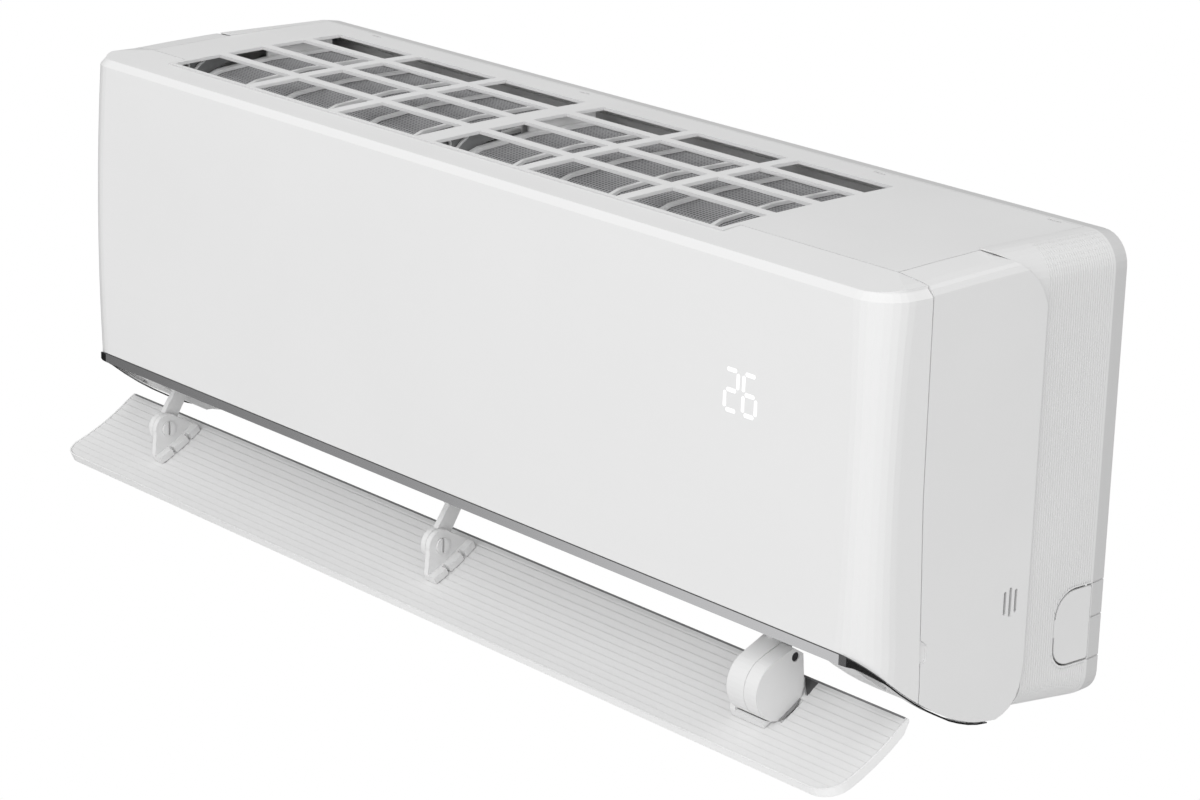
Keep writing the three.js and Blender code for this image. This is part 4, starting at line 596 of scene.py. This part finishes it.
def light_bar(bundle, x0, h0, x1, h1):
    """A six-sided bar with pointed ends from (x0, h0) to (x1, h1), just proud of the panel."""
    half = BAR_WIDTH / 2
    length = math.hypot(x1 - x0, h1 - h0)
    ux, uh = (x1 - x0) / length, (h1 - h0) / length
    first, second = BAR_GAP, BAR_GAP + half * BAR_NOSE
    outline = [
        (x0 + ux * reach - uh * side, h0 + uh * reach + ux * side)
        for reach, side in (
            (first, 0), (second, half), (length - second, half),
            (length - first, 0), (length - second, -half), (second, -half),
        )
    ]
    bundle.strip([
        [at(x, panel_face(h) + lift, h) for x, h in outline] for lift in (BAR_SUNK, -BAR_PROUD)
    ])


def digits(look):
    bundle = Bundle()
    wide = DIGIT_WIDTH - BAR_WIDTH
    low = DIGIT_LOW + BAR_WIDTH / 2
    tall = (DIGIT_HEIGHT - BAR_WIDTH) / 2
    for i, names in enumerate(DIGITS):
        left = DIGIT_LEFT + BAR_WIDTH / 2 + i * DIGIT_STEP
        for name in names:
            (a0, b0), (a1, b1) = BARS[name]
            light_bar(bundle, left + a0 * wide, low + b0 * tall, left + a1 * wide, low + b1 * tall)
    piece("display_digits", bundle, look, "panel")


def lit(name):
    look = surface(name, (0.95, 0.95, 0.95), 0.4, 0.0, 1200, 0.004, 0.01)
    shader = Tree(look.node_tree, clear=False).first("BSDF_PRINCIPLED")
    shader.inputs["Emission Color"].default_value = WHITE
    shader.inputs["Emission Strength"].default_value = DIGIT_GLOW
    return look


digits(lit("digit_light"))

# Painted shadow: a dark strip standing for the shade in the shut line between the panel's lower edge and the
# trim, from one side round to the other.
CORNER = 23.0
CORNER_STEPS = 8
SHUT_INSET = 0.2
SHUT_PROUD = 0.07
SHUT_SUNK = 0.1
SHUT_LINE = 0.7
SHUT_TOP = 66.85
SHUT_FALL = 0.83
SHUT_REACH = 20.0


def paint_gap_shadow():
    side = HALF - SHUT_INSET
    plan = [(side, SHUT_REACH, 1.0, 0.0)]
    for i in range(CORNER_STEPS + 1):
        angle = math.radians(-90 * i / CORNER_STEPS)
        out_x, out_depth = math.cos(angle), math.sin(angle)
        if CORNER + CORNER * out_depth <= SHUT_REACH:
            plan.append((side - CORNER + CORNER * out_x, CORNER + CORNER * out_depth, out_x, out_depth))
    plan += [(-x, depth, -out_x, out_depth) for x, depth, out_x, out_depth in reversed(plan)]
    rings = []
    for x, depth, out_x, out_depth in plan:
        top = SHUT_TOP - SHUT_FALL * depth
        low = top - SHUT_LINE
        rings.append([
            at(x + reach * out_x, depth + reach * out_depth, height)
            for reach, height in (
                (SHUT_PROUD, top), (SHUT_PROUD, low), (-SHUT_SUNK, low), (-SHUT_SUNK, top)
            )
        ])
    bundle = Bundle()
    bundle.strip(rings)
    piece("trim_gap_painted_shadow", bundle, dull_grey("shadow_grey", (0.07, 0.07, 0.072)), "case")


paint_gap_shadow()

# The deflector's own frame: a runs from its front edge to its rear edge, b up from its chord.
DEFLECTOR_TILT = math.radians(27.3)
DEFLECTOR_PIVOT = (10.0, 21.0)
PIVOT_ON_DEFLECTOR = (49.0, 14.1)
CHORD = 77.4
BOWL = 178.0
LINER_DEPTH = 1.5
REAR_EASE = 0.9
REAR_EASE_LENGTH = 7.0


def bowl(a):
    """Height of the liner's hollow over the chord."""
    sag = BOWL - math.sqrt(BOWL ** 2 - (CHORD / 2) ** 2)
    return BOWL - sag - math.sqrt(BOWL ** 2 - (a - CHORD / 2) ** 2)


def on_deflector(x, a, b):
    along, up = a - PIVOT_ON_DEFLECTOR[0], b - PIVOT_ON_DEFLECTOR[1]
    turn, rise = math.cos(DEFLECTOR_TILT), math.sin(DEFLECTOR_TILT)
    depth = DEFLECTOR_PIVOT[0] + along * turn - up * rise
    return at(x, depth, DEFLECTOR_PIVOT[1] + along * rise + up * turn)


def on_bowl(outline, lifts):
    """Rings for a thin patch with an outline of (x, a) points, between two lifts off the liner."""
    return [[on_deflector(x, a, bowl(a) + lift) for x, a in outline] for lift in lifts]


def rear_top(a):
    return bowl(a) - REAR_EASE * max(a - CHORD + REAR_EASE_LENGTH, 0) / REAR_EASE_LENGTH


# A dark strip along the deflector's rear edge.
REAR_EDGE_END = 432.5
REAR_EDGE_INNER = CHORD - 1.5
REAR_EDGE_OUTER = CHORD + 0.05
REAR_EDGE_SECTION = ((REAR_EDGE_INNER, 0.06), (REAR_EDGE_OUTER, 0.06), (REAR_EDGE_OUTER, -0.5), (REAR_EDGE_INNER, -0.1))
rear_edge_strip = Bundle()
rear_edge_strip.strip([
    [on_deflector(x, a, rear_top(a) + lift) for a, lift in REAR_EDGE_SECTION] for x in (-REAR_EDGE_END, REAR_EDGE_END)
])
rear_edge_grey = dull_grey("rear_edge_grey", (0.24, 0.24, 0.245))
piece("deflector_rear_dark_strip", rear_edge_strip, rear_edge_grey, "deflector")

# Painted shade: a dark patch on the floor of the cut-out in the liner behind the drum, where the deep recess
# lies in shade.
POCKET = ((340.2, 77.0), (354.4, 77.0), (354.4, 65.0), (353.2, 65.0))
POCKET_LIFTS = (0.35, -0.05)
pocket = Bundle()
pocket.strip(on_bowl(POCKET, [lift - LINER_DEPTH for lift in POCKET_LIFTS]))
pocket_shade_grey = dull_grey("pocket_shade_grey", (0.13, 0.13, 0.132))
piece("liner_pocket_painted_shade", pocket, pocket_shade_grey, "deflector")

# Painted shade: grey patches for the shaded crescent beside the drum, where the liner's trough is left open,
# and for the notch in its foot.
CRESCENT = (
    (38.0, 350.6), (42.0, 352.6), (46.0, 353.6), (50.0, 354.0), (54.0, 353.6), (58.0, 352.6), (61.0, 351.2)
)
CRESCENT_INNER = 350.2
FOOT_NOTCH = ((311.6, 36.9), (319.0, 36.9), (318.2, 31.2))
SHADE_TOP = 0.25
SHADE_SUNK = -0.1
crescent = Bundle()
crescent.strip([
    [
        on_deflector(x, a, bowl(a) + lift)
        for x, lift in (
            (CRESCENT_INNER, SHADE_TOP), (outer, SHADE_TOP), (outer, SHADE_SUNK), (CRESCENT_INNER, SHADE_SUNK)
        )
    ]
    for a, outer in CRESCENT
])
crescent.strip(on_bowl(FOOT_NOTCH, (SHADE_TOP, SHADE_SUNK)))
shade_grey = dull_grey("shade_grey", (0.3, 0.3, 0.302), mottle=0.12)
piece("drum_shade_gaps", crescent, shade_grey, "deflector")

# Spring clips at the front left of each opening, in front of a plate that closes the corner there; the
# plate's grey is painted shade for the shaded inner face seen at that corner.
CLIP_PLANES = (-367.5, -45.5)
CLIP_PLATE_GAP = 1.6
CLIP_PLATE_THICKNESS = 1.0
CLIP_PLATE = ((34.0, 281.0), (96.0, 300.0), (96.0, 303.6), (48.0, 303.6), (36.0, 298.0))
CLIP_CURLS = (
    ((44.6, 304.2), (46.6, 302.6), (48.2, 300.6), (48.4, 298.6), (47.6, 296.8), (45.6, 294.6)),
    ((64.6, 304.4), (63.6, 302.2), (61.4, 300.6), (59.0, 299.4), (57.0, 297.6), (54.4, 295.4), (51.0, 292.4)),
)
CLIP_WIRE = 1.2
CLIP_SIDES = 8


def wire(plane, line):
    """Rings of a round wire along (depth, height) points in a plane across X."""
    rings = []
    for i, (depth, height) in enumerate(line):
        before, after = line[max(i - 1, 0)], line[min(i + 1, len(line) - 1)]
        run = math.hypot(after[0] - before[0], after[1] - before[1])
        side = ((after[1] - before[1]) / run, -(after[0] - before[0]) / run)
        turns = [math.tau * k / CLIP_SIDES for k in range(CLIP_SIDES)]
        rings.append([
            at(
                plane + CLIP_WIRE * math.sin(turn),
                depth + CLIP_WIRE * side[0] * math.cos(turn),
                height + CLIP_WIRE * side[1] * math.cos(turn),
            )
            for turn in turns
        ])
    return rings


clip_plates, clip_wires = Bundle(), Bundle()
for plane in CLIP_PLANES:
    face = plane - CLIP_PLATE_GAP
    clip_plates.strip([
        [at(x, depth, height) for depth, height in CLIP_PLATE] for x in (face, face - CLIP_PLATE_THICKNESS)
    ])
    for curl in CLIP_CURLS:
        clip_wires.strip(wire(plane, curl))
corner_shade_grey = surface("corner_shade_grey", (0.33, 0.335, 0.34), 0.6, 0.0, 1200, 0.02, 0.12)
clip_white = surface("clip_white", (0.9, 0.9, 0.9), 0.4, 0.0, 1200, 0.01, 0.02)
piece("corner_shade_plates", clip_plates, corner_shade_grey, "case")
piece("spring_clips", clip_wires, clip_white, "case", smooth=True)

# ---- Finish ----------------------------------------------------------------------------------------

bpy.context.scene.view_settings.view_transform = "Standard"
